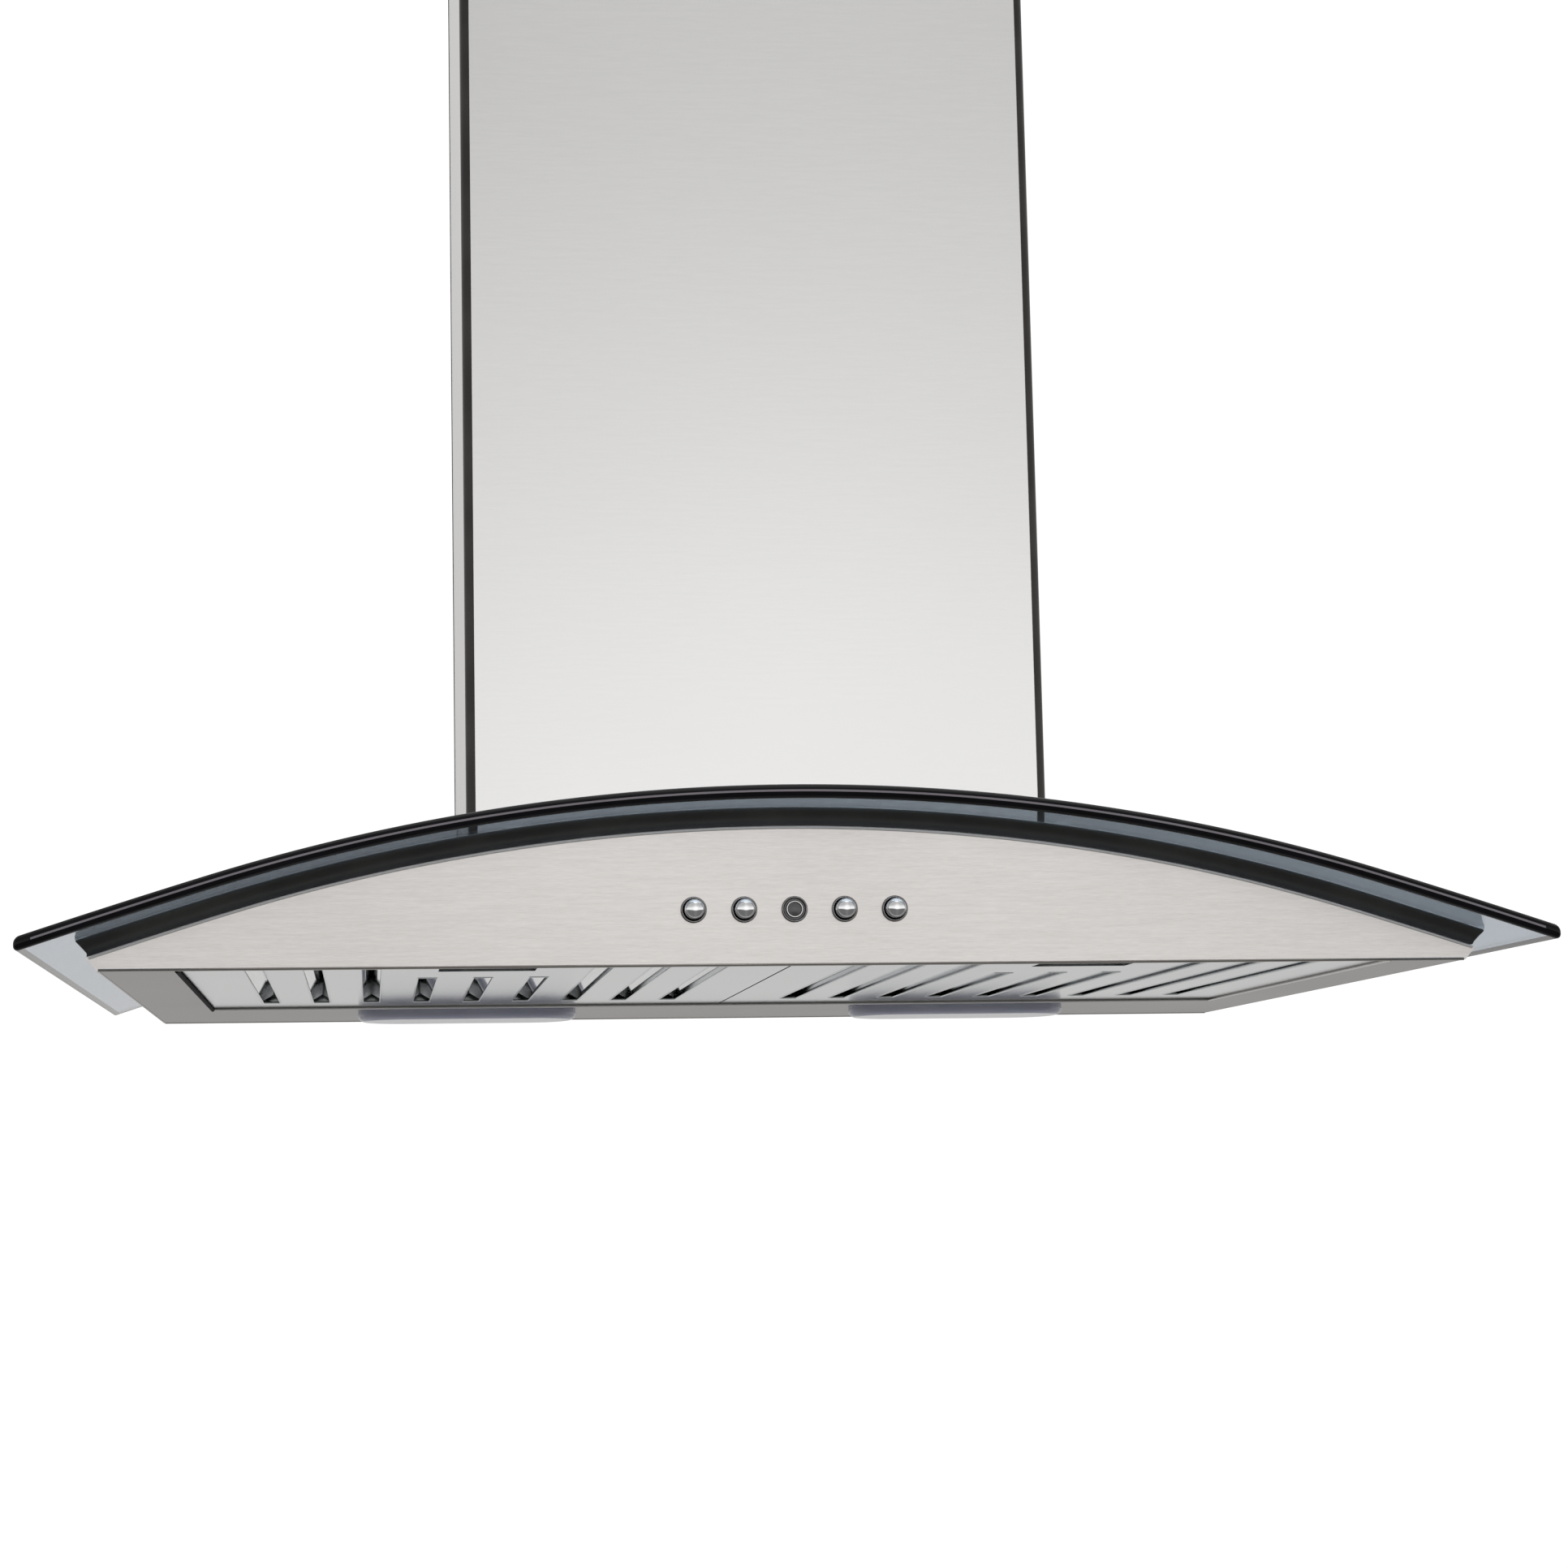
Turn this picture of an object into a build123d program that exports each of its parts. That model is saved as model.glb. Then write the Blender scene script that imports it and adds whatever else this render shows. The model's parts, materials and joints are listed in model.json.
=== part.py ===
from build123d import *
import math
import os

# Island range hood with an arched glass canopy, millimetres.
# It is modelled with Z = 0 at the underside of the body, X to the right and
# -Y towards the buttons, then moved so that the origin is at the ceiling.

# ---- driving dimensions ----------------------------------------------------

CEILING_Z = 1000.0  # ceiling above the body's underside

GLASS_WIDTH = 900.0
GLASS_DEPTH = 650.0
GLASS_THICK = 8.0
GLASS_EDGE_RADIUS = 3.4
GLASS_APEX = 94.0  # underside of the glass at its crown
CROWN_RADIUS = 1160.0  # underside of the glass, middle stretch
CROWN_HALF_ANGLE = 0.30  # radians, where the flatter wings begin
WING_RADIUS = 5380.0
GLASS_HOLE = (326.0, 256.0)

SEAL = 11.3  # height of the rubber between the body and the glass
SEAL_DEPTH = 12.0
SEAL_HALF_WIDTH = 420.0

BODY_WIDTH = 815.0
BODY_TOP_WIDTH = 828.0
BODY_DEPTH = 560.0
SHEET = 1.2

FILTER_HALF_OPENING = 361.0
FILTER_REAR_Y = 110.0
FILTER_FRONT_Y = -276.8
FILTER_BOTTOM = 1.0
FILTER_TOP = 11.0
FILTER_INNER_X = 0.6
FILTER_OUTER_X = 360.2
FILTER_SKIN = 1.0
SLOT_COUNT = 9
SLOT_PITCH = 34.4
SLOT_WIDTH = 12.0
SLOT_FRONT_Y = -262.0
SLOT_FRONT_Y_AT_LATCH = -182.0
SLOT_REAR_Y = 57.0
VEE_HALF_WIDTH = 11.5
VEE_LOW_Z = 2.5
VEE_HIGH_Z = 9.8
VEE_Y = (-256.0, 84.0)
VEE_FRONT_AT_LATCH = -228.0
RAIL_WIDTH = 9.0

POCKET = (60.0, 26.0)
POCKET_Y = -247.0
POCKET_DEPTH = 8.0
LATCH_HANDLE = (42.0, 10.0, 1.6)
LATCH_TONGUE = (24.0, 2.0)
LATCH_FRONT_Y = -278.3

LAMP_X = 180.0
LAMP_Y = 148.0
LENS = (158.0, 70.0, 8.0)
LENS_WALL = 2.5
LAMP_OPENING = (146.0, 58.0)
LAMP_BOX = (152.0, 64.0, 34.0)

CONTROL_PITCH = 30.0
CONTROL_Z = 33.0
BEZEL_RADIUS = 7.8
BEZEL_BORE = 6.3
BEZEL_FRONT = 2.2  # how far a bezel stands out of the panel
SLEEVE_RADIUS = 6.9
BUTTON_RADIUS = 5.8
BUTTON_FRONT = 9.5
BUTTON_REAR = 8.0  # length of the cap behind the panel's face
STEM_RADIUS = 3.0
STEM_REAR = 18.0
SWITCH_BLOCK = (150.0, 28.0, 26.0)

COVER_LOWER = (376.0, 264.0)
COVER_LOWER_Z = (50.0, 770.0)  # before its foot is cut to the glass
COVER_SKIN = 1.2
COVER_CORNER = 5.5
COVER_GAP = 0.5
COVER_UPPER_SKIN = 1.0
COVER_UPPER_BOTTOM = 570.0
TRIM_SKIN = 0.5

BLOWER_BOX = (310.0, 240.0)
BLOWER_BOX_TOP = 400.0
FLANGE_REACH = 20.0
POST_LEG = 25.0
POST_SKIN = 2.0
LOWER_POST_Z = (130.0, 620.0)
UPPER_POST_BOTTOM = 520.0
CEILING_PLATE = (330.0, 250.0, 3.0)
CEILING_HOLES = (270.0, 200.0)
CEILING_HOLE_RADIUS = 4.0
DUCT_OPENING_RADIUS = 85.0

WHEEL_X = -45.0
WHEEL_Z = 225.0
WHEEL_RADIUS = 80.0
WHEEL_INNER_RADIUS = 66.0
WHEEL_HALF_WIDTH = 45.0
BLADE_COUNT = 28
SCROLL_START = 85.0  # spiral radius at the cut-off
SCROLL_END = 122.0  # spiral radius where the outlet begins
SCROLL_START_ANGLE = 60.0
SCROLL_INNER_START_ANGLE = 57.0
SCROLL_TOP = 312.0
SCROLL_HALF_DEPTH = 60.0
SCROLL_SKIN = 2.0
INLET_RADIUS = 64.0
MOTOR_RADIUS = 46.0
MOTOR_Y = (6.0, 76.0)
SHAFT_RADIUS = 4.0
SHAFT_Y = (-24.0, 82.0)
RUNNING_GAP = 0.05

COLLAR_RADIUS = 75.0
COLLAR_WALL = 1.5
COLLAR_TOP = 460.0
COLLAR_FLANGE_RADIUS = 90.0
DAMPER_Z = 425.0
DAMPER_PIN_RADIUS = 2.0
KNUCKLE_RADIUS = 3.4
FLAP_RADIUS = 72.6
FLAP_SKIN = 1.2

SCREW_RADIUS = 2.0
CLAMP_SKIN = 1.5
PAD_THICK = 4.0
CLAMP_SCREW_Z = 115.0
SCREW_HEAD_RADIUS = 4.0
SCREW_HEAD = 2.4
HOLE_RADIUS = 2.2


# ---- small helpers ---------------------------------------------------------


def block(x_range, y_range, z_range):
    """A box from its two limits along each axis."""
    lows = [pair[0] for pair in (x_range, y_range, z_range)]
    sizes = [pair[1] - pair[0] for pair in (x_range, y_range, z_range)]
    return Pos(*lows) * Box(*sizes, align=(Align.MIN, Align.MIN, Align.MIN))


def rod_x(x_range, y, z, radius):
    """A round bar along X."""
    bar = Cylinder(radius, x_range[1] - x_range[0], align=(Align.CENTER, Align.CENTER, Align.MIN))
    return Pos(x_range[0], y, z) * Rot(0, 90, 0) * bar


def rod_y(x, y_range, z, radius):
    """A round bar along Y."""
    bar = Cylinder(radius, y_range[1] - y_range[0], align=(Align.CENTER, Align.CENTER, Align.MIN))
    return Pos(x, y_range[0], z) * Rot(-90, 0, 0) * bar


def rod_z(x, y, z_range, radius):
    """A round bar along Z."""
    bar = Cylinder(radius, z_range[1] - z_range[0], align=(Align.CENTER, Align.CENTER, Align.MIN))
    return Pos(x, y, z_range[0]) * bar


def prism(outline, z_range):
    """A flat outline drawn at Z = 0, stood up between two heights."""
    return Pos(0, 0, z_range[0]) * extrude(outline, z_range[1] - z_range[0], dir=(0, 0, 1))


def corners(size):
    """The four corner points of a centred rectangle."""
    return [(sx * size[0] / 2, sy * size[1] / 2) for sx in (-1, 1) for sy in (-1, 1)]


def two_sides():
    """The name and the sign of X for each side."""
    return (("left", -1), ("right", 1))


# ---- the arch that the glass, the seal and the body share ----------------------


def arch_z(x, offset=0.0):
    """Height of the line that runs at a distance above the glass underside."""
    crown_z = GLASS_APEX - CROWN_RADIUS
    if abs(x) <= (CROWN_RADIUS + offset) * math.sin(CROWN_HALF_ANGLE):
        return crown_z + math.sqrt((CROWN_RADIUS + offset) ** 2 - x**2)
    shift = WING_RADIUS - CROWN_RADIUS
    wing_x = -shift * math.sin(CROWN_HALF_ANGLE)
    wing_z = crown_z - shift * math.cos(CROWN_HALF_ANGLE)
    return wing_z + math.sqrt((WING_RADIUS + offset) ** 2 - (abs(x) - wing_x) ** 2)


def arch_line(half, offset):
    """The arched line from -half to +half: one arc, or three tangent ones."""
    break_x = (CROWN_RADIUS + offset) * math.sin(CROWN_HALF_ANGLE)
    stops = [-half, half]
    if half > break_x:
        stops = [-half, -break_x, break_x, half]
    arcs = []
    for start, end in zip(stops, stops[1:]):
        places = (start, (start + end) / 2, end)
        arcs.append(ThreePointArc(*[Vector(x, 0, arch_z(x, offset)) for x in places]))
    return arcs


def push_along_y(edges, y_range):
    """A closed outline in the XZ plane, given a depth along Y."""
    face = Face(Wire(edges))
    depth = y_range[1] - y_range[0]
    return extrude(Pos(0, y_range[0], 0) * face, depth, dir=(0, 1, 0))


def arch_slab(half, y_range, low, high):
    """A layer that follows the arch, between two distances from the glass underside."""
    top = arch_line(half, high)
    bottom = arch_line(half, low)
    sides = [Line(bottom[0] @ 0, top[0] @ 0), Line(bottom[-1] @ 1, top[-1] @ 1)]
    return push_along_y(top + bottom + sides, y_range)


def below_arch(half, y_range, offset, floor):
    """Everything between a flat floor and the arch."""
    top = arch_line(half, offset)
    left, right = top[0] @ 0, top[-1] @ 1
    foot_left, foot_right = Vector(-half, 0, floor), Vector(half, 0, floor)
    sides = [Line(foot_left, left), Line(foot_right, right), Line(foot_left, foot_right)]
    return push_along_y(top + sides, y_range)


def rect_tube(outer, wall, z_range, radius=0.0):
    """An upright rectangular tube, with rounded corners if a radius is given."""
    inner = (outer[0] - 2 * wall, outer[1] - 2 * wall)
    if radius:
        outline = RectangleRounded(*outer, radius) - RectangleRounded(*inner, radius - wall)
    else:
        outline = Rectangle(*outer) - Rectangle(*inner)
    return prism(outline, z_range)


# ---- body ------------------------------------------------------------------


def end_panel(y_range):
    """The flat front or rear panel: straight foot, arched top, slanted ends."""
    top = arch_line(BODY_TOP_WIDTH / 2, -SEAL)
    foot_left = Vector(-BODY_WIDTH / 2, 0, 0)
    foot_right = Vector(BODY_WIDTH / 2, 0, 0)
    ends = [Line(foot_left, top[0] @ 0), Line(foot_right, top[-1] @ 1), Line(foot_left, foot_right)]
    return push_along_y(top + ends, y_range)


def control_places():
    """X of the five controls, the pilot lamp in the middle."""
    return [CONTROL_PITCH * step for step in (-2, -1, 0, 1, 2)]


def front_panel():
    panel = end_panel((-BODY_DEPTH / 2, -BODY_DEPTH / 2 + SHEET))
    for x in control_places():
        panel -= rod_y(x, (-BODY_DEPTH / 2 - 1, -BODY_DEPTH / 2 + SHEET + 1), CONTROL_Z, SLEEVE_RADIUS)
    return panel


def side_wall(sign):
    """The low end wall, a strip that flares outwards and upwards."""
    foot = BODY_WIDTH / 2
    brow = BODY_TOP_WIDTH / 2
    brow_z = arch_z(brow, -SEAL)
    middle = (foot + 0.28 * (brow - foot), 0.6 * brow_z)
    inner_brow = brow - SHEET
    edges = [
        ThreePointArc((foot, 0, 0), (middle[0], 0, middle[1]), (brow, 0, brow_z)),
        Line((brow, 0, brow_z), (inner_brow, 0, brow_z)),
        ThreePointArc(
            (inner_brow, 0, brow_z), (middle[0] - SHEET, 0, middle[1]), (foot - SHEET, 0, 0)
        ),
        Line((foot - SHEET, 0, 0), (foot, 0, 0)),
    ]
    half = BODY_DEPTH / 2 - SHEET
    wall = push_along_y(edges, (-half, half))
    return wall if sign > 0 else mirror(wall, about=Plane.YZ)


def bottom_frame():
    """The underside: side and rear strips round the filter opening, with its flanges."""
    inside = BODY_DEPTH / 2 - SHEET
    strip_x = BODY_WIDTH / 2 - SHEET - 0.3
    rear = FILTER_REAR_Y + 2
    flange_top = FILTER_TOP + 2 * SHEET
    opening = FILTER_HALF_OPENING
    plate = block((-strip_x, strip_x), (-inside, inside), (0, SHEET))
    plate -= block((-opening, opening), (-inside - 1, rear), (-1, SHEET + 1))
    for _, sign in two_sides():
        hole = prism(RectangleRounded(*LAMP_OPENING, 27), (-1, SHEET + 1))
        plate -= Pos(sign * LAMP_X, LAMP_Y, 0) * hole
    flanges = block((-opening - SHEET, opening + SHEET), (-inside, rear + SHEET), (0, flange_top))
    flanges -= block((-opening, opening), (-inside - 1, rear), (-1, flange_top + 1))
    front_rail = block((-opening, opening), (-inside, -inside + 16), (flange_top - SHEET, flange_top))
    return plate + flanges + front_rail


def top_deck():
    """The arched inner skin under the seal, with the opening for the blower box."""
    inside = BODY_DEPTH / 2 - SHEET
    deck = arch_slab(BODY_TOP_WIDTH / 2 - 3, (-inside, inside), -SEAL - 1.0, -SEAL)
    inner = (BLOWER_BOX[0] - 2 * SHEET, BLOWER_BOX[1] - 2 * SHEET)
    deck -= prism(Rectangle(*inner), (40, 110))
    return deck - [rod_z(x, y, (40, 110), HOLE_RADIUS) for x, y in flange_screw_places()]


# ---- glass and its seal --------------------------------------------------------


def glass_canopy():
    pane = arch_slab(GLASS_WIDTH / 2, (-GLASS_DEPTH / 2, GLASS_DEPTH / 2), 0, GLASS_THICK)
    pane = fillet(pane.edges(), GLASS_EDGE_RADIUS)
    return pane - prism(RectangleRounded(*GLASS_HOLE, 12), (40, 140))


def seal_strip(sign):
    """The front or rear rubber, just proud of the panel below it, with rounded ends."""
    outer = BODY_DEPTH / 2 + 1
    y_range = sorted((sign * outer, sign * (outer - SEAL_DEPTH)))
    strip = arch_slab(SEAL_HALF_WIDTH, y_range, -SEAL, 0)
    ends = strip.edges().filter_by(Axis.Y)
    tips = [edge for edge in ends if abs(edge.center().X) > SEAL_HALF_WIDTH - 1]
    return fillet(tips, SEAL * 0.42)


def seal_side(sign):
    """The straight rubber along one end of the body."""
    half = BODY_DEPTH / 2 + 1 - SEAL_DEPTH
    layer = arch_slab(BODY_TOP_WIDTH / 2, (-half, half), -SEAL, 0)
    x_range = sorted((sign * (BODY_TOP_WIDTH / 2 - SEAL_DEPTH), sign * (BODY_TOP_WIDTH / 2 + 1)))
    return layer & block(x_range, (-half - 1, half + 1), (-40, 60))


def clamp_bar(sign):
    """An angle on the side of the blower box that presses the glass down."""
    wall_x = BLOWER_BOX[0] / 2
    low = GLASS_THICK + PAD_THICK
    foot = arch_slab(wall_x + 24, (-90, 90), low, low + CLAMP_SKIN)
    foot &= block((wall_x, wall_x + 25), (-91, 91), (60, 140))
    leg = block((wall_x, wall_x + CLAMP_SKIN), (-90, 90), (arch_z(wall_x, low + 1), 122))
    bar = foot + leg
    for y in clamp_screw_places():
        bar -= rod_x((wall_x - 1, wall_x + 3), y, CLAMP_SCREW_Z, HOLE_RADIUS)
    return bar if sign > 0 else mirror(bar, about=Plane.YZ)


def clamp_pads():
    """The rubber strips between the two clamp bars and the glass."""
    layer = arch_slab(BLOWER_BOX[0] / 2 + 22, (-88, 88), GLASS_THICK, GLASS_THICK + PAD_THICK)
    keep = GLASS_HOLE[0] / 2 + 1
    return layer - block((-keep, keep), (-100, 100), (40, 140))


# ---- lamps -----------------------------------------------------------------


def lamp_lens(sign):
    """The translucent cover, hanging below the rear strip."""
    rounding = LENS[1] / 2 - 1
    shell = prism(RectangleRounded(LENS[0], LENS[1], rounding), (-LENS[2], 0))
    foot = shell.faces().sort_by(Axis.Z)[0].edges()
    shell = fillet(foot, 5)
    inner = (LENS[0] - 2 * LENS_WALL, LENS[1] - 2 * LENS_WALL)
    hollow = prism(RectangleRounded(*inner, rounding - LENS_WALL), (LENS_WALL - LENS[2], 1))
    return Pos(sign * LAMP_X, LAMP_Y, 0) * (shell - hollow)


def lamp_housing(sign):
    """The tray above the lamp opening, open at the bottom."""
    tray = prism(RectangleRounded(LAMP_BOX[0], LAMP_BOX[1], 30), (SHEET, LAMP_BOX[2]))
    inner = (LAMP_BOX[0] - 2, LAMP_BOX[1] - 2)
    tray -= prism(RectangleRounded(*inner, 29), (0, LAMP_BOX[2] - 1))
    return Pos(sign * LAMP_X, LAMP_Y, 0) * tray


def lamp_socket(sign):
    """The lamp holder at the outer end of the housing."""
    holder = rod_x((46, 70), 0, 18, 12) - rod_x((45, 64), 0, 18, 8)
    return Pos(sign * LAMP_X, LAMP_Y, 0) * Rot(0, 0, 0 if sign > 0 else 180) * holder


def lamp_bulb(sign):
    """A small screw-in bulb lying along X."""
    glass = rod_x((-28, 34), 0, 18, 11.5)
    glass = fillet(glass.edges(), 8)
    neck = rod_x((30, 60), 0, 18, 7)
    return Pos(sign * LAMP_X, LAMP_Y, 0) * Rot(0, 0, 0 if sign > 0 else 180) * (glass + neck)


# ---- controls --------------------------------------------------------------


def control_bezels():
    """Five ring bezels, each with a sleeve through the panel."""
    face = -BODY_DEPTH / 2
    bezels = Part()
    for x in control_places():
        ring = rod_y(x, (face - BEZEL_FRONT, face), CONTROL_Z, BEZEL_RADIUS)
        ring = chamfer(ring.faces().sort_by(Axis.Y)[0].edges(), 0.6)
        sleeve = rod_y(x, (face, face + 4), CONTROL_Z, SLEEVE_RADIUS)
        bezels += ring + sleeve - rod_y(x, (face - 5, face + 5), CONTROL_Z, BEZEL_BORE)
    return bezels


def push_button(x):
    """A domed cap on a stem that runs back into the switch block."""
    face = -BODY_DEPTH / 2
    cap = rod_y(x, (face - BUTTON_FRONT, face + BUTTON_REAR), CONTROL_Z, BUTTON_RADIUS)
    cap = fillet(cap.faces().sort_by(Axis.Y)[0].edges(), 4.2)
    stem = rod_y(x, (face + BUTTON_REAR, face + STEM_REAR), CONTROL_Z, STEM_RADIUS)
    return cap + stem


def pilot_lens():
    """The flat lens of the pilot lamp, in the middle bezel."""
    face = -BODY_DEPTH / 2
    return rod_y(0, (face - BEZEL_FRONT + 0.5, face + BUTTON_REAR), CONTROL_Z, BUTTON_RADIUS)


def switch_block():
    """The plastic block behind the panel that holds the stems."""
    face = -BODY_DEPTH / 2
    front = face + 4.2
    half = SWITCH_BLOCK[0] / 2
    z_range = (CONTROL_Z - SWITCH_BLOCK[2] / 2, CONTROL_Z + SWITCH_BLOCK[2] / 2)
    body = block((-half, half), (front, front + SWITCH_BLOCK[1]), z_range)
    for x in control_places():
        body -= rod_y(x, (front - 1, face + BUTTON_REAR + 5), CONTROL_Z, BUTTON_RADIUS + 0.3)
        body -= rod_y(x, (front, face + STEM_REAR + 5), CONTROL_Z, STEM_RADIUS + 0.3)
    return body


# ---- filters ---------------------------------------------------------------


def filter_centre(sign):
    return sign * (FILTER_INNER_X + FILTER_OUTER_X) / 2


def latch_pocket(z_range):
    """The outside of the finger recess."""
    return Pos(0, POCKET_Y, 0) * prism(Rectangle(*POCKET), z_range)


def latch_pocket_hollow(z_range):
    """The inside of the finger recess, open at the bottom."""
    inner = (POCKET[0] - 2 * FILTER_SKIN, POCKET[1] - 2 * FILTER_SKIN)
    return Pos(0, POCKET_Y, 0) * prism(Rectangle(*inner), z_range)


def filter_face(sign):
    """The pressed lower sheet: a shallow tray with nine slots and the latch recess."""
    half = (FILTER_OUTER_X - FILTER_INNER_X) / 2
    skin = FILTER_SKIN
    tray = block((-half, half), (FILTER_FRONT_Y, FILTER_REAR_Y), (FILTER_BOTTOM, FILTER_TOP))
    tray -= block(
        (-half + skin, half - skin),
        (FILTER_FRONT_Y + skin, FILTER_REAR_Y - skin),
        (FILTER_BOTTOM + skin, FILTER_TOP + 1),
    )
    middle = SLOT_COUNT // 2
    for index in range(SLOT_COUNT):
        x = (index - middle) * SLOT_PITCH
        beside_latch = abs(index - middle) <= 1
        front = SLOT_FRONT_Y_AT_LATCH if beside_latch else SLOT_FRONT_Y
        tray -= block((x - SLOT_WIDTH / 2, x + SLOT_WIDTH / 2), (front, SLOT_REAR_Y), (0, 3))
    tray += latch_pocket((FILTER_BOTTOM, FILTER_BOTTOM + POCKET_DEPTH))
    tray -= latch_pocket_hollow((0, FILTER_BOTTOM + POCKET_DEPTH - skin))
    window = LATCH_TONGUE[0] / 2 + 0.4
    pocket_back = POCKET_Y - POCKET[1] / 2 + 3
    tray -= block((-window, window), (FILTER_FRONT_Y - 1, pocket_back), (3.2, 6.0))
    return Pos(filter_centre(sign), 0, 0) * tray


def filter_baffles(sign):
    """The upper sheet: nine inverted vees over the slots, tied by a frame of rails."""
    half = (FILTER_OUTER_X - FILTER_INNER_X) / 2 - FILTER_SKIN
    rail_z = (VEE_HIGH_Z - 1.2, VEE_HIGH_Z - 0.2)
    frame_y = (VEE_FRONT_AT_LATCH, VEE_Y[1])
    frame = block((-half, half), frame_y, rail_z)
    hollow_y = (frame_y[0] + RAIL_WIDTH, frame_y[1] - RAIL_WIDTH)
    frame -= block((-half + RAIL_WIDTH, half - RAIL_WIDTH), hollow_y, (0, 20))
    for index in range(SLOT_COUNT):
        x = (index - SLOT_COUNT // 2) * SLOT_PITCH
        outline = Polyline(
            (x - VEE_HALF_WIDTH, 0, VEE_LOW_Z),
            (x, 0, VEE_HIGH_Z),
            (x + VEE_HALF_WIDTH, 0, VEE_LOW_Z),
            (x + VEE_HALF_WIDTH - 1.6, 0, VEE_LOW_Z),
            (x, 0, VEE_HIGH_Z - 1.3),
            (x - VEE_HALF_WIDTH + 1.6, 0, VEE_LOW_Z),
            close=True,
        )
        beside_latch = abs(index - SLOT_COUNT // 2) <= 1
        frame += push_along_y(outline.edges(), frame_y if beside_latch else VEE_Y)
    return Pos(filter_centre(sign), 0, 0) * frame


def filter_latch(sign):
    """The sliding catch: a finger plate in the recess with a tongue to the front."""
    x = filter_centre(sign)
    handle_front = POCKET_Y - POCKET[1] / 2 + 1.4
    handle_z = (2.0, 2.0 + LATCH_HANDLE[2])
    tongue_z = (handle_z[1], handle_z[1] + LATCH_TONGUE[1])
    shift = 6.0
    half = LATCH_HANDLE[0] / 2
    handle_y = (handle_front, handle_front + LATCH_HANDLE[1])
    handle = block((x + shift - half, x + shift + half), handle_y, handle_z)
    tongue_half = LATCH_TONGUE[0] / 2
    tongue = block((x - tongue_half, x + tongue_half), (LATCH_FRONT_Y, handle_y[1]), tongue_z)
    return handle + tongue


# ---- blower ----------------------------------------------------------------


def flange_screw_places():
    x = BLOWER_BOX[0] / 2 + FLANGE_REACH / 2
    y = BLOWER_BOX[1] / 2 + FLANGE_REACH / 2
    return [(-x, -80), (-x, 80), (x, -80), (x, 80), (-100, -y), (100, -y), (-100, y), (100, y)]


def clamp_screw_places():
    return (-70, 0, 70)


def post_screw_places():
    """Heights of the screws that hold the lower posts to the blower box."""
    return (160, 260, 360)


def overlap_screw_places():
    """Heights of the screws that join the upper and lower posts."""
    return (545, 595)


def blower_box():
    """The steel box through the glass, standing on an arched flange."""
    walls = rect_tube(BLOWER_BOX, SHEET, (0, BLOWER_BOX_TOP))
    walls -= below_arch(BLOWER_BOX[0] / 2 + 10, (-200, 200), -SEAL, -20)
    reach_x = BLOWER_BOX[0] / 2 + FLANGE_REACH
    reach_y = BLOWER_BOX[1] / 2 + FLANGE_REACH
    flange = arch_slab(reach_x, (-reach_y, reach_y), -SEAL, -SEAL + SHEET)
    flange -= prism(Rectangle(*BLOWER_BOX), (40, 110))
    flange -= [rod_z(x, y, (40, 110), HOLE_RADIUS) for x, y in flange_screw_places()]
    walls -= [rod_x((-200, 200), y, CLAMP_SCREW_Z, HOLE_RADIUS) for y in clamp_screw_places()]
    for y in (-post_hole_y(), post_hole_y()):
        walls -= [rod_x((-200, 200), y, z, HOLE_RADIUS) for z in post_screw_places()]
    return walls + flange


def post_hole_y():
    return BLOWER_BOX[1] / 2 - POST_LEG / 2


def blower_box_lid():
    lid = prism(Rectangle(*BLOWER_BOX), (BLOWER_BOX_TOP, BLOWER_BOX_TOP + SHEET))
    return lid - rod_z(0, 0, (BLOWER_BOX_TOP - 1, BLOWER_BOX_TOP + 5), COLLAR_RADIUS - COLLAR_WALL)


def scroll_radius(angle):
    """The spiral grows evenly from the cut-off to the outlet."""
    share = (angle - SCROLL_START_ANGLE) / (360 - SCROLL_START_ANGLE)
    return SCROLL_START + (SCROLL_END - SCROLL_START) * share


def scroll_outline(inset, start_angle, top):
    """Spiral wall, then the straight throat up to the outlet."""
    steps = 12
    points = []
    for step in range(steps + 1):
        angle = start_angle + (360 - start_angle) * step / steps
        radius = scroll_radius(angle) - inset
        turn = math.radians(angle)
        points.append(Vector(WHEEL_X + radius * math.cos(turn), 0, WHEEL_Z + radius * math.sin(turn)))
    high_left = Vector(points[0].X, 0, top)
    high_right = Vector(points[-1].X, 0, top)
    return [
        Spline(*points),
        Line(points[-1], high_right),
        Line(high_right, high_left),
        Line(high_left, points[0]),
    ]


def blower_housing(sign):
    """One half of the scroll, split on the wheel's middle plane."""
    deep = SCROLL_HALF_DEPTH
    outer_y = sorted((0, sign * deep))
    inner_y = sorted((-sign, sign * (deep - SCROLL_SKIN)))
    shell = push_along_y(scroll_outline(0, SCROLL_START_ANGLE, SCROLL_TOP), outer_y)
    inner = scroll_outline(SCROLL_SKIN, SCROLL_INNER_START_ANGLE, SCROLL_TOP + 1)
    shell -= push_along_y(inner, inner_y)
    return shell - rod_y(WHEEL_X, (-deep - 1, deep + 1), WHEEL_Z, INLET_RADIUS)


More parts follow.
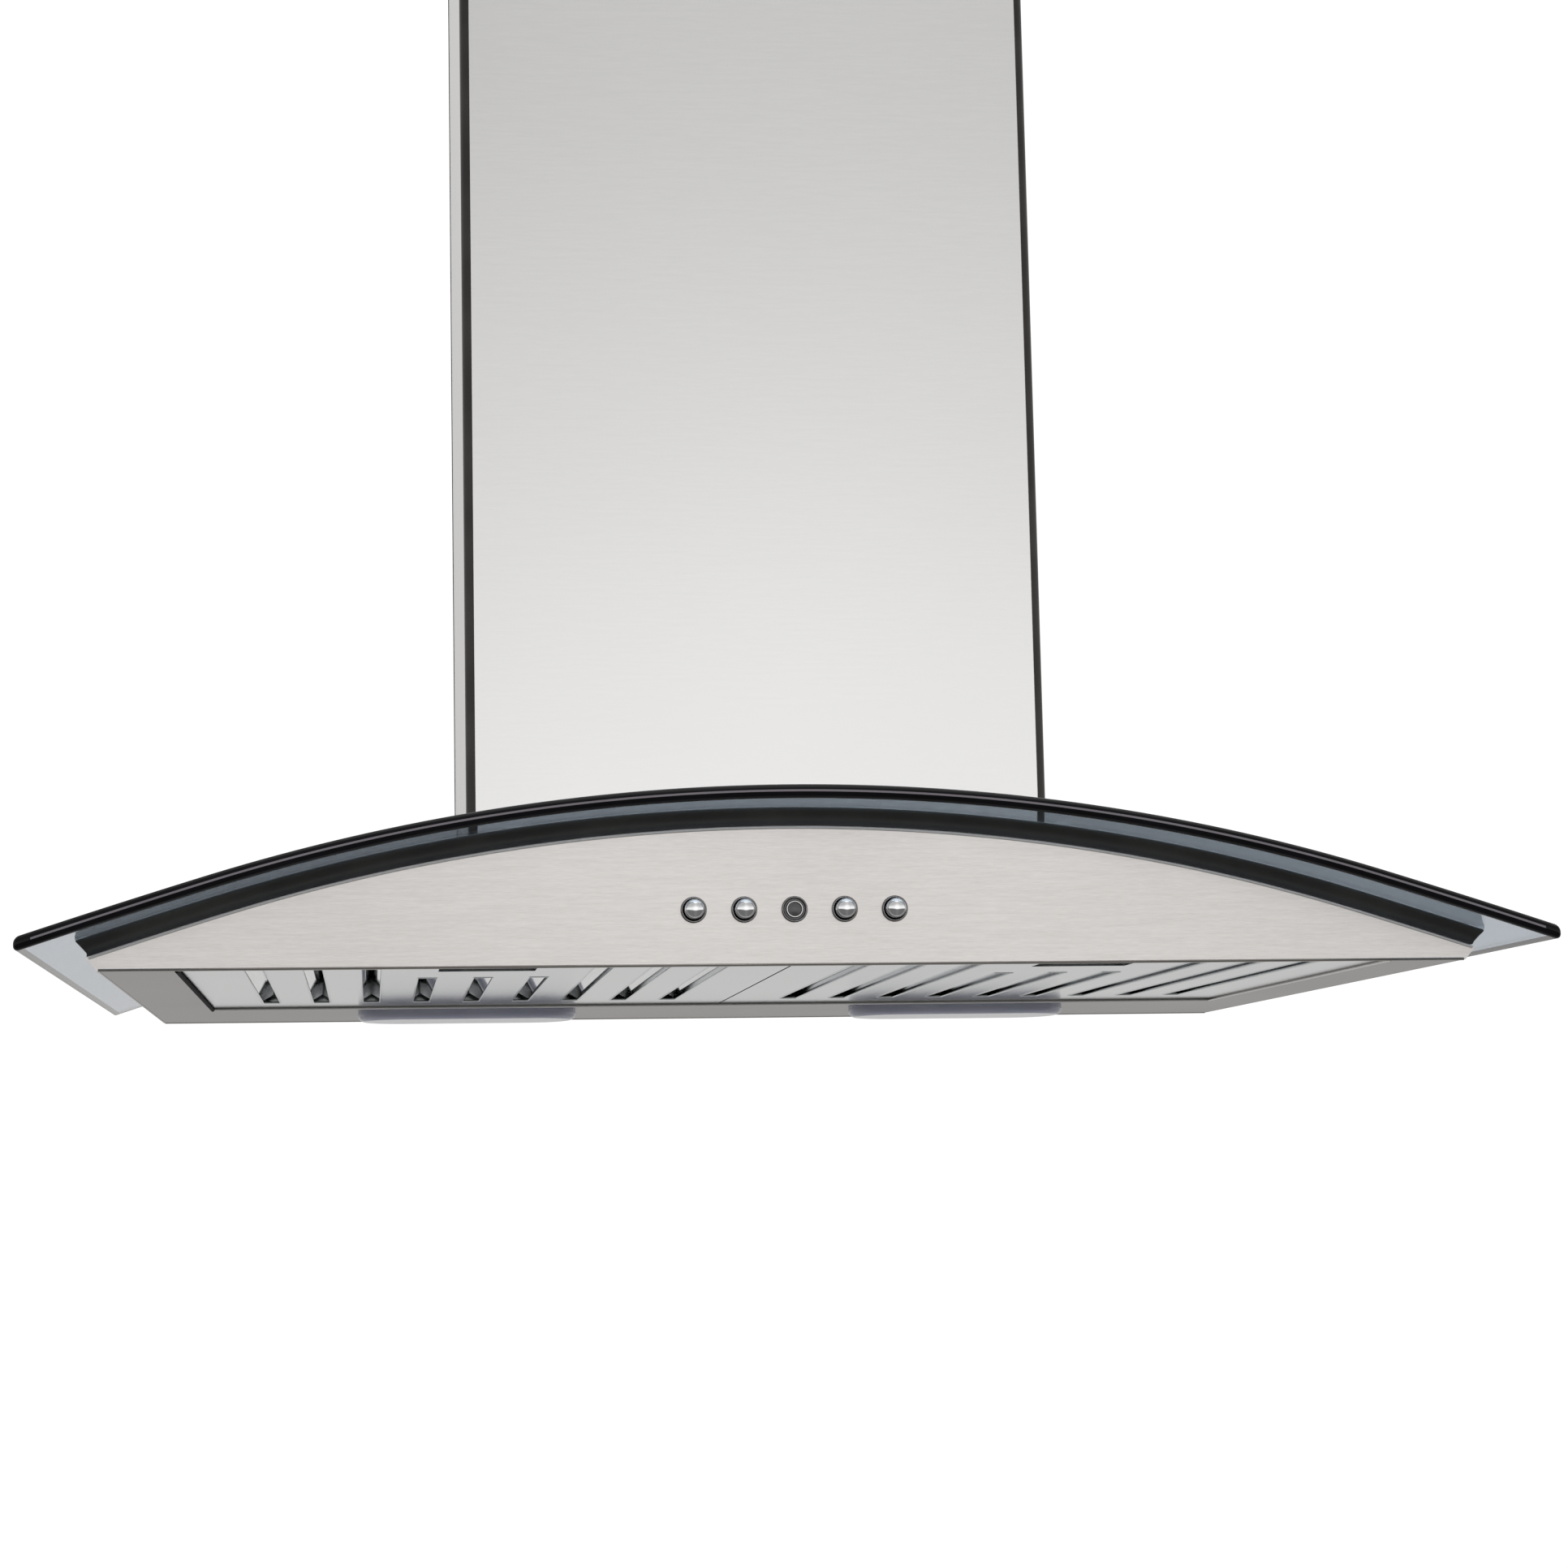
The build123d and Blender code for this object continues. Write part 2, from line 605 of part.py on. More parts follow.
def outlet_transition():
    """The duct piece from the rectangular throat to the round collar."""
    left = WHEEL_X + SCROLL_START * math.cos(math.radians(SCROLL_START_ANGLE))
    right = WHEEL_X + SCROLL_END
    middle = (left + right) / 2
    wide = right - left
    deep = 2 * SCROLL_HALF_DEPTH
    skin = SCROLL_SKIN
    foot_z, head_z = SCROLL_TOP + skin, BLOWER_BOX_TOP - skin
    outer = loft([
        Pos(middle, 0, foot_z) * Rectangle(wide, deep),
        Pos(0, 0, head_z) * Circle(COLLAR_RADIUS),
    ])
    inner = loft([
        Pos(middle, 0, foot_z) * Rectangle(wide - 2 * skin, deep - 2 * skin),
        Pos(0, 0, head_z) * Circle(COLLAR_RADIUS - COLLAR_WALL),
    ])
    foot = prism(Rectangle(wide + 20, deep + 20) - Rectangle(wide - 4, deep - 4), (SCROLL_TOP, foot_z))
    head = prism(Circle(COLLAR_RADIUS + 9) - Circle(COLLAR_RADIUS - COLLAR_WALL), (head_z, BLOWER_BOX_TOP))
    return (outer - inner) + Pos(middle, 0, 0) * foot + head


def impeller():
    """A double-inlet wheel: middle disc, hub, end rings and swept blades."""
    half = WHEEL_HALF_WIDTH
    ring_width = 2.0
    blade_wide = WHEEL_RADIUS - WHEEL_INNER_RADIUS
    wheel = rod_y(0, (-1, 1), 0, WHEEL_RADIUS)
    wheel += rod_y(0, (-20, 0), 0, 11)
    for y_range in ((-half, -half + ring_width), (half - ring_width, half)):
        wheel += rod_y(0, y_range, 0, WHEEL_RADIUS) - rod_y(0, y_range, 0, WHEEL_INNER_RADIUS)
    centre = (WHEEL_RADIUS + WHEEL_INNER_RADIUS) / 2
    blade = block((-blade_wide / 2, blade_wide / 2), (-half, half), (-0.6, 0.6))
    for index in range(BLADE_COUNT):
        turn = 360 * index / BLADE_COUNT
        wheel += Rot(0, turn, 0) * Pos(centre, 0, 0) * Rot(0, -28, 0) * blade
    wheel -= rod_y(0, (-30, 10), 0, SHAFT_RADIUS)
    return Pos(WHEEL_X, 0, WHEEL_Z) * wheel


def motor_shaft():
    return rod_y(WHEEL_X, SHAFT_Y, WHEEL_Z, SHAFT_RADIUS)


def motor():
    """The motor can with a bearing boss at each end."""
    can = rod_y(WHEEL_X, MOTOR_Y, WHEEL_Z, MOTOR_RADIUS)
    can = fillet(can.edges(), 4)
    can += rod_y(WHEEL_X, (MOTOR_Y[0] - 3, MOTOR_Y[1] + 4), WHEEL_Z, 11)
    return can - rod_y(WHEEL_X, (MOTOR_Y[0] - 5, MOTOR_Y[1] + 10), WHEEL_Z, SHAFT_RADIUS + RUNNING_GAP)


def motor_bracket():
    """A clamp ring round the motor with three arms to the rear inlet."""
    near = SCROLL_HALF_DEPTH
    ring = rod_y(0, (near, near + 2.5), 0, 78) - rod_y(0, (near - 1, near + 4), 0, 67)
    arms = Part()
    for turn in (90, 210, 330):
        arms += Rot(0, turn, 0) * block((48, 70), (near, near + 2.5), (-7, 7))
    band = rod_y(0, (near - 4, near + 10), 0, 49.5)
    bracket = ring + arms + band
    bracket -= rod_y(0, (near - 6, near + 12), 0, MOTOR_RADIUS)
    return Pos(WHEEL_X, 0, WHEEL_Z) * bracket


# ---- duct collar and damper ------------------------------------------------------


def duct_collar():
    foot = BLOWER_BOX_TOP + SHEET
    tube = rod_z(0, 0, (foot, COLLAR_TOP), COLLAR_RADIUS)
    tube += rod_z(0, 0, (foot, foot + 2), COLLAR_FLANGE_RADIUS)
    tube -= rod_z(0, 0, (foot - 1, COLLAR_TOP + 1), COLLAR_RADIUS - COLLAR_WALL)
    return tube - rod_y(0, (-COLLAR_RADIUS - 1, COLLAR_RADIUS + 1), DAMPER_Z, DAMPER_PIN_RADIUS)


def damper_pin():
    half = COLLAR_RADIUS - 0.3
    return rod_y(0, (-half, half), DAMPER_Z, DAMPER_PIN_RADIUS)


def damper_flap(sign):
    """Half a disc with two hinge barrels; the two flaps' barrels alternate on the pin."""
    barrels = [(-62, -32), (1, 31)]
    if sign > 0:
        barrels = [(-high, -low) for low, high in barrels]
    z_range = (DAMPER_Z - FLAP_SKIN / 2, DAMPER_Z + FLAP_SKIN / 2)
    edge = KNUCKLE_RADIUS + 0.8
    plate = rod_z(0, 0, z_range, FLAP_RADIUS)
    plate &= block(sorted((sign * edge, sign * 80)), (-80, 80), (z_range[0] - 1, z_range[1] + 1))
    for barrel in barrels:
        plate += block(sorted((0, sign * edge)), barrel, z_range)
        plate += rod_y(0, barrel, DAMPER_Z, KNUCKLE_RADIUS)
    return plate - rod_y(0, (-80, 80), DAMPER_Z, DAMPER_PIN_RADIUS + RUNNING_GAP)


# ---- electrics on the lid ------------------------------------------------------


def lid_top():
    return BLOWER_BOX_TOP + SHEET


def terminal_box():
    case = block((-150, -102), (-115, -62), (lid_top(), lid_top() + 32))
    case = fillet(case.edges().filter_by(Axis.Z), 3)
    return case - rod_z(-126, -88, (lid_top() + 20, lid_top() + 40), 8)


def cable_gland():
    """The gland where the supply cable enters the terminal box."""
    foot = lid_top() + 22
    gland = rod_z(-126, -88, (foot, foot + 22), 7.9)
    nut = prism(RegularPolygon(12, 6), (lid_top() + 32, lid_top() + 38))
    gland += Pos(-126, -88, 0) * nut
    return gland - rod_z(-126, -88, (foot - 1, foot + 30), 4)


def capacitor():
    can = rod_z(124, -88, (lid_top(), lid_top() + 70), 17.5)
    return fillet(can.edges().group_by(Axis.Z)[-1], 3)


# ---- hanging frame ---------------------------------------------------------------


def corner_post(inner, leg, z_range):
    """An angle that hugs one corner of a rectangle, with a hole row in its X leg."""
    x, y = inner
    sx, sy = math.copysign(1, x), math.copysign(1, y)
    skin = POST_SKIN
    side = block(sorted((x, x + sx * skin)), sorted((y + sy * skin, y + sy * skin - sy * leg)), z_range)
    back = block(sorted((x + sx * skin, x + sx * skin - sx * leg)), sorted((y, y + sy * skin)), z_range)
    return side + back


def lower_posts():
    """Four angles on the corners of the blower box."""
    posts = Part()
    for x, y in corners(BLOWER_BOX):
        post = corner_post((x, y), POST_LEG, LOWER_POST_Z)
        sx, sy = math.copysign(1, x), math.copysign(1, y)
        for z in post_screw_places() + overlap_screw_places():
            post -= rod_x(sorted((x - sx, x + sx * 4)), sy * post_hole_y(), z, HOLE_RADIUS)
        posts += post
    return posts


def upper_posts():
    """Four angles from the ceiling plate that lap over the lower ones."""
    outer = (BLOWER_BOX[0] + 2 * POST_SKIN, BLOWER_BOX[1] + 2 * POST_SKIN)
    z_range = (UPPER_POST_BOTTOM, CEILING_Z - CEILING_PLATE[2])
    posts = Part()
    for x, y in corners(outer):
        post = corner_post((x, y), POST_LEG, z_range)
        sx, sy = math.copysign(1, x), math.copysign(1, y)
        for z in overlap_screw_places():
            post -= rod_x(sorted((x - sx, x + sx * 4)), sy * post_hole_y(), z, HOLE_RADIUS)
        posts += post
    return posts


def ceiling_plate():
    low = CEILING_Z - CEILING_PLATE[2]
    plate = prism(RectangleRounded(CEILING_PLATE[0], CEILING_PLATE[1], 8), (low, CEILING_Z))
    plate -= rod_z(0, 0, (low - 1, CEILING_Z + 1), DUCT_OPENING_RADIUS)
    for x, y in corners(CEILING_HOLES):
        plate -= rod_z(x, y, (low - 1, CEILING_Z + 1), CEILING_HOLE_RADIUS)
    return plate


# ---- chimney covers ------------------------------------------------------------


def above_glass(piece):
    """The piece cut to stand on the curve of the glass."""
    return piece - below_arch(250, (-200, 200), GLASS_THICK + 0.2, -20)


def chimney_corner_trims():
    """Four dark angle strips over the bends of the lower cover."""
    outer = (COVER_LOWER[0] + 2 * TRIM_SKIN, COVER_LOWER[1] + 2 * TRIM_SKIN)
    tube = rect_tube(outer, TRIM_SKIN, COVER_LOWER_Z, COVER_CORNER + TRIM_SKIN)
    keep_x = COVER_LOWER[0] / 2 - COVER_CORNER
    keep_y = COVER_LOWER[1] / 2 - COVER_CORNER
    tube -= block((-keep_x, keep_x), (-outer[1], outer[1]), (0, CEILING_Z))
    tube -= block((-outer[0], outer[0]), (-keep_y, keep_y), (0, CEILING_Z))
    return above_glass(tube)


def lower_cover_half(sign):
    """The front or rear sheet of the lower cover: a face bent back into two half sides."""
    tube = rect_tube(COVER_LOWER, COVER_SKIN, COVER_LOWER_Z, COVER_CORNER)
    half_x = COVER_LOWER[0] / 2 + 1
    y_range = sorted((sign * 0.1, sign * COVER_LOWER[1]))
    return above_glass(tube & block((-half_x, half_x), y_range, (0, CEILING_Z)))


def upper_cover():
    """The upper cover, which slides inside the lower one."""
    shrink = 2 * (COVER_SKIN + COVER_GAP)
    outer = (COVER_LOWER[0] - shrink, COVER_LOWER[1] - shrink)
    z_range = (COVER_UPPER_BOTTOM, CEILING_Z - 0.5)
    return rect_tube(outer, COVER_UPPER_SKIN, z_range, COVER_CORNER - 1.5)


# ---- screws --------------------------------------------------------------------


def flange_screws():
    """Vertical screws through the blower box flange and the deck."""
    screws = Part()
    for x, y in flange_screw_places():
        head_z = arch_z(abs(x) - SCREW_HEAD_RADIUS, -SEAL + SHEET)
        screws += rod_z(x, y, (head_z - 14, head_z), SCREW_RADIUS)
        screws += rod_z(x, y, (head_z, head_z + SCREW_HEAD), SCREW_HEAD_RADIUS)
    return screws


def side_screws(heights, y_places, face_x, length):
    """Horizontal screws along X into both sides, heads outwards."""
    screws = Part()
    for sign in (-1, 1):
        for y in y_places:
            for z in heights:
                shank = sorted((sign * (face_x - length), sign * face_x))
                head = sorted((sign * face_x, sign * (face_x + SCREW_HEAD)))
                screws += rod_x(shank, y, z, SCREW_RADIUS)
                screws += rod_x(head, y, z, SCREW_HEAD_RADIUS)
    return screws


def frame_screws():
    """The screws of the glass clamps, of the lower posts and of the lapped posts."""
    wall = BLOWER_BOX[0] / 2
    rows = (-post_hole_y(), post_hole_y())
    screws = side_screws((CLAMP_SCREW_Z,), clamp_screw_places(), wall + CLAMP_SKIN, 8)
    screws += side_screws(post_screw_places(), rows, wall + POST_SKIN, 8)
    screws += side_screws(overlap_screw_places(), rows, wall + 2 * POST_SKIN, 9)
    return screws


# ---- assembly --------------------------------------------------------------------


def button_names():
    return ("light_button", "low_speed_button", "medium_speed_button", "high_speed_button")


def all_parts():
    """Every node and its shape, in the body's own frame."""
    parts = {
        "front_panel": front_panel(),
        "rear_panel": end_panel((BODY_DEPTH / 2 - SHEET, BODY_DEPTH / 2)),
        "bottom_frame": bottom_frame(),
        "top_deck": top_deck(),
        "glass_canopy": glass_canopy(),
        "front_seal": seal_strip(-1),
        "rear_seal": seal_strip(1),
        "clamp_pads": clamp_pads(),
        "control_bezels": control_bezels(),
        "pilot_lens": pilot_lens(),
        "switch_block": switch_block(),
        "blower_box": blower_box(),
        "blower_box_lid": blower_box_lid(),
        "blower_housing_front": blower_housing(-1),
        "blower_housing_rear": blower_housing(1),
        "outlet_transition": outlet_transition(),
        "impeller": impeller(),
        "motor_shaft": motor_shaft(),
        "motor": motor(),
        "motor_bracket": motor_bracket(),
        "duct_collar": duct_collar(),
        "damper_pin": damper_pin(),
        "terminal_box": terminal_box(),
        "cable_gland": cable_gland(),
        "capacitor": capacitor(),
        "lower_posts": lower_posts(),
        "upper_posts": upper_posts(),
        "ceiling_plate": ceiling_plate(),
        "chimney_cover_front": lower_cover_half(-1),
        "chimney_cover_rear": lower_cover_half(1),
        "chimney_corner_trims": chimney_corner_trims(),
        "chimney_cover_upper": upper_cover(),
        "flange_screws": flange_screws(),
        "frame_screws": frame_screws(),
    }
    places = [x for x in control_places() if x != 0]
    for name, x in zip(button_names(), places):
        parts[name] = push_button(x)
    for side, sign in two_sides():
        parts["side_wall_" + side] = side_wall(sign)
        parts["side_seal_" + side] = seal_side(sign)
        parts["glass_clamp_" + side] = clamp_bar(sign)
        parts["lamp_lens_" + side] = lamp_lens(sign)
        parts["lamp_housing_" + side] = lamp_housing(sign)
        parts["lamp_socket_" + side] = lamp_socket(sign)
        parts["lamp_bulb_" + side] = lamp_bulb(sign)
        parts["filter_face_" + side] = filter_face(sign)
        parts["filter_baffles_" + side] = filter_baffles(sign)
        parts["filter_latch_" + side] = filter_latch(sign)
        parts["damper_flap_" + side] = damper_flap(sign)
    return parts


def main():
    os.makedirs("parts", exist_ok=True)
    for name, shape in all_parts().items():
        export_step(Pos(0, 0, -CEILING_Z) * shape, os.path.join("parts", name + ".step"))


main()
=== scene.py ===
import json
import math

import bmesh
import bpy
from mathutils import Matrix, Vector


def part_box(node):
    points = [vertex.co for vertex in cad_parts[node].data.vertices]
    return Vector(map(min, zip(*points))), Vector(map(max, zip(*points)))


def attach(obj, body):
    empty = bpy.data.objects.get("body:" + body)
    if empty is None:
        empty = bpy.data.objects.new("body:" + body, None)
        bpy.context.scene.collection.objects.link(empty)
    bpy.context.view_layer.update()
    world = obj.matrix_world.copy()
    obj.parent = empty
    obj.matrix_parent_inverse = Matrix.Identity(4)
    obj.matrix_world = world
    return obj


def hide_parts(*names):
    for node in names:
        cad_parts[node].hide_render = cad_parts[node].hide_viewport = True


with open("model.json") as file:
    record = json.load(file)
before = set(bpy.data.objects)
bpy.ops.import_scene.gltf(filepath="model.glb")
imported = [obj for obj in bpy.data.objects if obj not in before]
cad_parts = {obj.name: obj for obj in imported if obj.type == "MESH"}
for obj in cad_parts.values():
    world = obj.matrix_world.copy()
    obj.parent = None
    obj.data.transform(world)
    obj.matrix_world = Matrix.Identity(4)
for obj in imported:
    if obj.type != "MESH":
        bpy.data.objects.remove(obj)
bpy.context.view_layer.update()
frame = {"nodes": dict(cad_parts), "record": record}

# %% [markdown]
# # A ceiling-hung range hood
# The frame brings in every engineered part at its real place, in metres. Its origin is the centre of
# the ceiling plate's top face, +Z is up and -Y is the side with the buttons. This lesson adds what an
# engineer's model leaves out: the finish of each surface, the rounded edge of the glass, the lips of
# the rubber, the pressed rims of the filter slots and the recess in each screw's head.

HAIR = 1e-5  # two places closer than this are the same place
SIDES = ("left", "right")
panel_low, panel_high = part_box("front_panel")
UNDERSIDE = panel_low.z
FRONT_FACE = panel_low.y
print("underside at", round(UNDERSIDE, 4), "and front face at", round(FRONT_FACE, 4))


def add_object(name, data):
    """Puts a new object into the scene."""
    thing = bpy.data.objects.new(name, data)
    bpy.context.scene.collection.objects.link(thing)
    return thing


# %% [markdown]
# ## The camera
# A product like this is taken with a long lens from well back, so that its lines stay nearly straight.
# The camera stands a little to the left and just below the body, and looks slightly up and to the
# right: that shows the whole glass, the front panel and a thin slice of the underside. The lens shift
# frames the hood without tilting the camera further, as a view camera does.

# %% Camera
SENSOR = 36
LENS = 67.667
SHIFT = (0.0901, 0.0399)
CAMERA_PLACE = (-0.2493, -2.0003, UNDERSIDE - 0.1244)
YAW, PITCH, ROLL = math.radians(5.306), math.radians(6.444), math.radians(-0.876)

forward = Vector((math.sin(YAW) * math.cos(PITCH), math.cos(YAW) * math.cos(PITCH), math.sin(PITCH)))
level_right = Vector((math.cos(YAW), -math.sin(YAW), 0))
level_up = level_right.cross(forward)
right = level_right * math.cos(ROLL) + level_up * math.sin(ROLL)
up = level_up * math.cos(ROLL) - level_right * math.sin(ROLL)

camera_data = bpy.data.cameras.new("camera")
camera_data.sensor_width = SENSOR
camera_data.lens = LENS
camera_data.shift_x, camera_data.shift_y = SHIFT
camera = add_object("camera", camera_data)
camera_turn = Matrix((right, up, -forward)).transposed().to_4x4()
camera.matrix_world = Matrix.Translation(CAMERA_PLACE) @ camera_turn
bpy.context.scene.camera = camera
bpy.context.scene.view_settings.view_transform = "Standard"
print("camera", CAMERA_PLACE, "lens", LENS)

# %% [markdown]
# ## The studio
# Steel and glass have almost no colour of their own: they show the room. So the room comes first.
# The world is plain white where the camera sees it. For reflections it is a bright wall in front that
# fades upwards and to its sides, dark below the wall and half bright behind, as in a studio with
# black flags on the floor. The dark part is what gives chrome its contrast. A large soft light hangs
# above. Nodes are added and linked by a few helpers, which the finishes use too.

# %% Node helpers
def new_node(tree, kind, **settings):
    """Adds a node and sets its properties."""
    node = tree.nodes.new(kind)
    for key, value in settings.items():
        setattr(node, key, value)
    return node


def wire(tree, *pairs):
    """Links each output to its input."""
    for source, target in pairs:
        tree.links.new(source, target)


def feed(tree, socket, value):
    """Gives an input a plain value or another node's output."""
    if isinstance(value, bpy.types.NodeSocket):
        tree.links.new(value, socket)
    else:
        socket.default_value = value


def math_node(tree, operation, *values):
    """A Math node; each value is a number or an output."""
    node = new_node(tree, "ShaderNodeMath", operation=operation)
    for socket, value in zip(node.inputs, values):
        feed(tree, socket, value)
    return node.outputs[0]


def map_range(tree, value, from_pair, to_pair):
    """A Map Range node from one pair of limits to another."""
    node = new_node(tree, "ShaderNodeMapRange")
    labels = ("Value", "From Min", "From Max", "To Min", "To Max")
    for label, given in zip(labels, (value, *from_pair, *to_pair)):
        feed(tree, node.inputs[label], given)
    return node.outputs["Result"]


# %% World
# Each pair of pairs says: between these two heights, widths or depths, this brightness or share.
WALL_BY_HEIGHT = ((0.10, 0.37), (1.27, 0.65))
WALL_BY_WIDTH = ((0.04, 0.24), (1.0, 0.80))
WALL_MIDDLE = 0.14
FLOOR_BY_HEIGHT = ((-0.1, 0.0), (0.16, 1.0))
BACK_BY_HEIGHT = ((-0.3, 0.4), (0.6, 0.68))
BACK_BY_DEPTH = ((-0.25, 0.25), (0.0, 1.0))
ROOM_TINT = (1.0, 0.99, 0.98, 1)
BACKDROP_STRENGTH = 1.05

world = bpy.data.worlds.new("studio")
bpy.context.scene.world = world
world.use_nodes = True
sky = world.node_tree
sky.nodes.clear()
direction = new_node(sky, "ShaderNodeTexCoord")
axes = new_node(sky, "ShaderNodeSeparateXYZ")
wire(sky, (direction.outputs["Generated"], axes.inputs[0]))
across, depth, height = (axes.outputs[label] for label in "XYZ")
off_centre = math_node(sky, "ABSOLUTE", math_node(sky, "SUBTRACT", across, WALL_MIDDLE))
wall_up, wall_along = map_range(sky, height, *WALL_BY_HEIGHT), map_range(sky, off_centre, *WALL_BY_WIDTH)
wall = math_node(sky, "MULTIPLY", wall_up, wall_along)
front = math_node(sky, "MULTIPLY", wall, map_range(sky, height, *FLOOR_BY_HEIGHT))
back = map_range(sky, height, *BACK_BY_HEIGHT)
behind = map_range(sky, depth, *BACK_BY_DEPTH)
front_share = math_node(sky, "MULTIPLY", front, math_node(sky, "SUBTRACT", 1.0, behind))
glow = math_node(sky, "MULTIPLY_ADD", back, behind, front_share)

room = new_node(sky, "ShaderNodeBackground")
room.inputs["Color"].default_value = ROOM_TINT
backdrop = new_node(sky, "ShaderNodeBackground")
backdrop.inputs["Color"].default_value = (1, 1, 1, 1)
backdrop.inputs["Strength"].default_value = BACKDROP_STRENGTH
seen = new_node(sky, "ShaderNodeLightPath")
either = new_node(sky, "ShaderNodeMixShader")
sky_out = new_node(sky, "ShaderNodeOutputWorld")
wire(
    sky,
    (glow, room.inputs["Strength"]),
    (seen.outputs["Is Camera Ray"], either.inputs[0]),
    (room.outputs[0], either.inputs[1]),
    (backdrop.outputs[0], either.inputs[2]),
    (either.outputs[0], sky_out.inputs[0]),
)
print("world nodes", len(sky.nodes))

# %% Overhead light
LIGHT_SIZE = (4.0, 4.0)
LIGHT_PLACE, LIGHT_TARGET = Vector((0.5, -0.5, 2.2)), Vector((0, 0, -1))
RADIANCE = 0.9

light_data = bpy.data.lights.new("overhead", "AREA")
light_data.shape = "RECTANGLE"
light_data.size, light_data.size_y = LIGHT_SIZE
light_data.energy = RADIANCE * math.pi * LIGHT_SIZE[0] * LIGHT_SIZE[1]
light = add_object("overhead", light_data)
light.location = LIGHT_PLACE
light.rotation_euler = (LIGHT_TARGET - LIGHT_PLACE).to_track_quat("-Z", "Y").to_euler()
light.visible_camera = False
print("overhead light of", round(light_data.energy, 1), "watts")

# %% [markdown]
# ## Two ways to build node groups
# A finish that several materials share, such as brushed grain, is a shader group. A shape that
# repeats or follows a rule is a Geometry Nodes group. Both start the same way: a tree with named
# sockets, so one helper makes either.

# %% Group helper
def new_group(name, kind, inputs, outputs):
    """A node group with its sockets; gives the tree and its input and output nodes."""
    tree = bpy.data.node_groups.new(name, kind)
    for label, socket_type, value in inputs:
        socket = tree.interface.new_socket(name=label, in_out="INPUT", socket_type=socket_type)
        if value is not None:
            socket.default_value = value
    for label, socket_type in outputs:
        tree.interface.new_socket(name=label, in_out="OUTPUT", socket_type=socket_type)
    return tree, tree.nodes.new("NodeGroupInput"), tree.nodes.new("NodeGroupOutput")


def numbers(**sizes):
    """Number inputs with their first values."""
    return [(label.replace("_", " "), "NodeSocketFloat", value) for label, value in sizes.items()]


# %% [markdown]
# ## Brushed grain
# Stainless sheet is drawn past an abrasive belt, which leaves long, fine, parallel scratches. A noise
# that is squeezed across the scratches and stretched along them looks the same. Two sizes of it are
# mixed, so that the grain doesn't turn into stripes, and a slow third one stands for wiping marks.

# %% Noise, mixing and roughness
EFFECT_OUTPUTS = [
    ("Colour", "NodeSocketColor"),
    ("Roughness", "NodeSocketFloat"),
    ("Height", "NodeSocketFloat"),
]


def object_noise(tree, stretch, scale, detail):
    """Noise on object coordinates, multiplied by a stretch vector first."""
    place = new_node(tree, "ShaderNodeTexCoord")
    squeeze = new_node(tree, "ShaderNodeVectorMath", operation="MULTIPLY")
    noise = new_node(tree, "ShaderNodeTexNoise")
    noise.inputs["Scale"].default_value = scale
    noise.inputs["Detail"].default_value = detail
    feed(tree, squeeze.inputs[1], stretch)
    wire(tree, (place.outputs["Object"], squeeze.inputs[0]), (squeeze.outputs[0], noise.inputs["Vector"]))
    return noise.outputs["Fac"]


def mix_colour(tree, factor, first, second):
    """Mixes two colours by a mask."""
    node = new_node(tree, "ShaderNodeMix", data_type="RGBA")
    wire(tree, (factor, node.inputs[0]), (first, node.inputs[6]), (second, node.inputs[7]))
    return node.outputs[2]


def between_limits(tree, entry, share):
    """A roughness between the group's Smooth and Rough values."""
    span = math_node(tree, "SUBTRACT", entry.outputs["Rough"], entry.outputs["Smooth"])
    return math_node(tree, "MULTIPLY_ADD", span, share, entry.outputs["Smooth"])


def hand_out(tree, leave, **results):
    """Ends a shader group: each result goes to the output of its name."""
    wire(tree, *((value, leave.inputs[label]) for label, value in results.items()))
    return tree


# %% Brushed grain group
FINE_SHARE, COARSE_SHARE, COARSE_SCALE = 0.6, 0.4, 0.27
WIPING_SHARE, GRAIN_SHARE, WIPING_SIZE = 0.7, 0.3, 5.0
GRAIN_CONTRAST = (0.32, 0.68)


def brushed_grain_group():
    """Long fine scratches in two greys, with wiping marks in the roughness."""
    inputs = [
        ("Stretch", "NodeSocketVector", (40.0, 1600.0, 1600.0)),
        ("Light", "NodeSocketColor", (0.7, 0.69, 0.67, 1)),
        ("Dark", "NodeSocketColor", (0.5, 0.49, 0.48, 1)),
    ] + numbers(Smooth=0.24, Rough=0.36)
    tree, entry, leave = new_group("brushed_grain", "ShaderNodeTree", inputs, EFFECT_OUTPUTS)
    fine = object_noise(tree, entry.outputs["Stretch"], scale=1.0, detail=2.0)
    coarse = object_noise(tree, entry.outputs["Stretch"], scale=COARSE_SCALE, detail=1.0)
    wiping = object_noise(tree, (WIPING_SIZE,) * 3, scale=1.0, detail=3.0)
    coarse_part = math_node(tree, "MULTIPLY", coarse, COARSE_SHARE)
    both = math_node(tree, "ADD", math_node(tree, "MULTIPLY", fine, FINE_SHARE), coarse_part)
    tone = map_range(tree, both, GRAIN_CONTRAST, (0.0, 1.0))
    colour = mix_colour(tree, tone, entry.outputs["Dark"], entry.outputs["Light"])
    grain_part = math_node(tree, "MULTIPLY", tone, GRAIN_SHARE)
    blend = math_node(tree, "MULTIPLY_ADD", wiping, WIPING_SHARE, grain_part)
    roughness = between_limits(tree, entry, blend)
    return hand_out(tree, leave, Colour=colour, Roughness=roughness, Height=both)


BRUSHED_GRAIN = brushed_grain_group()
print("brushed grain nodes", len(BRUSHED_GRAIN.nodes))

# %% [markdown]
# ## Moulded skin
# Rubber, plastic and paint have a fine, even unevenness from the mould or the spray, and they gather
# a little dust. One group gives a colour that drifts between two tones, a roughness that drifts with
# it and a tiny height for the bump.

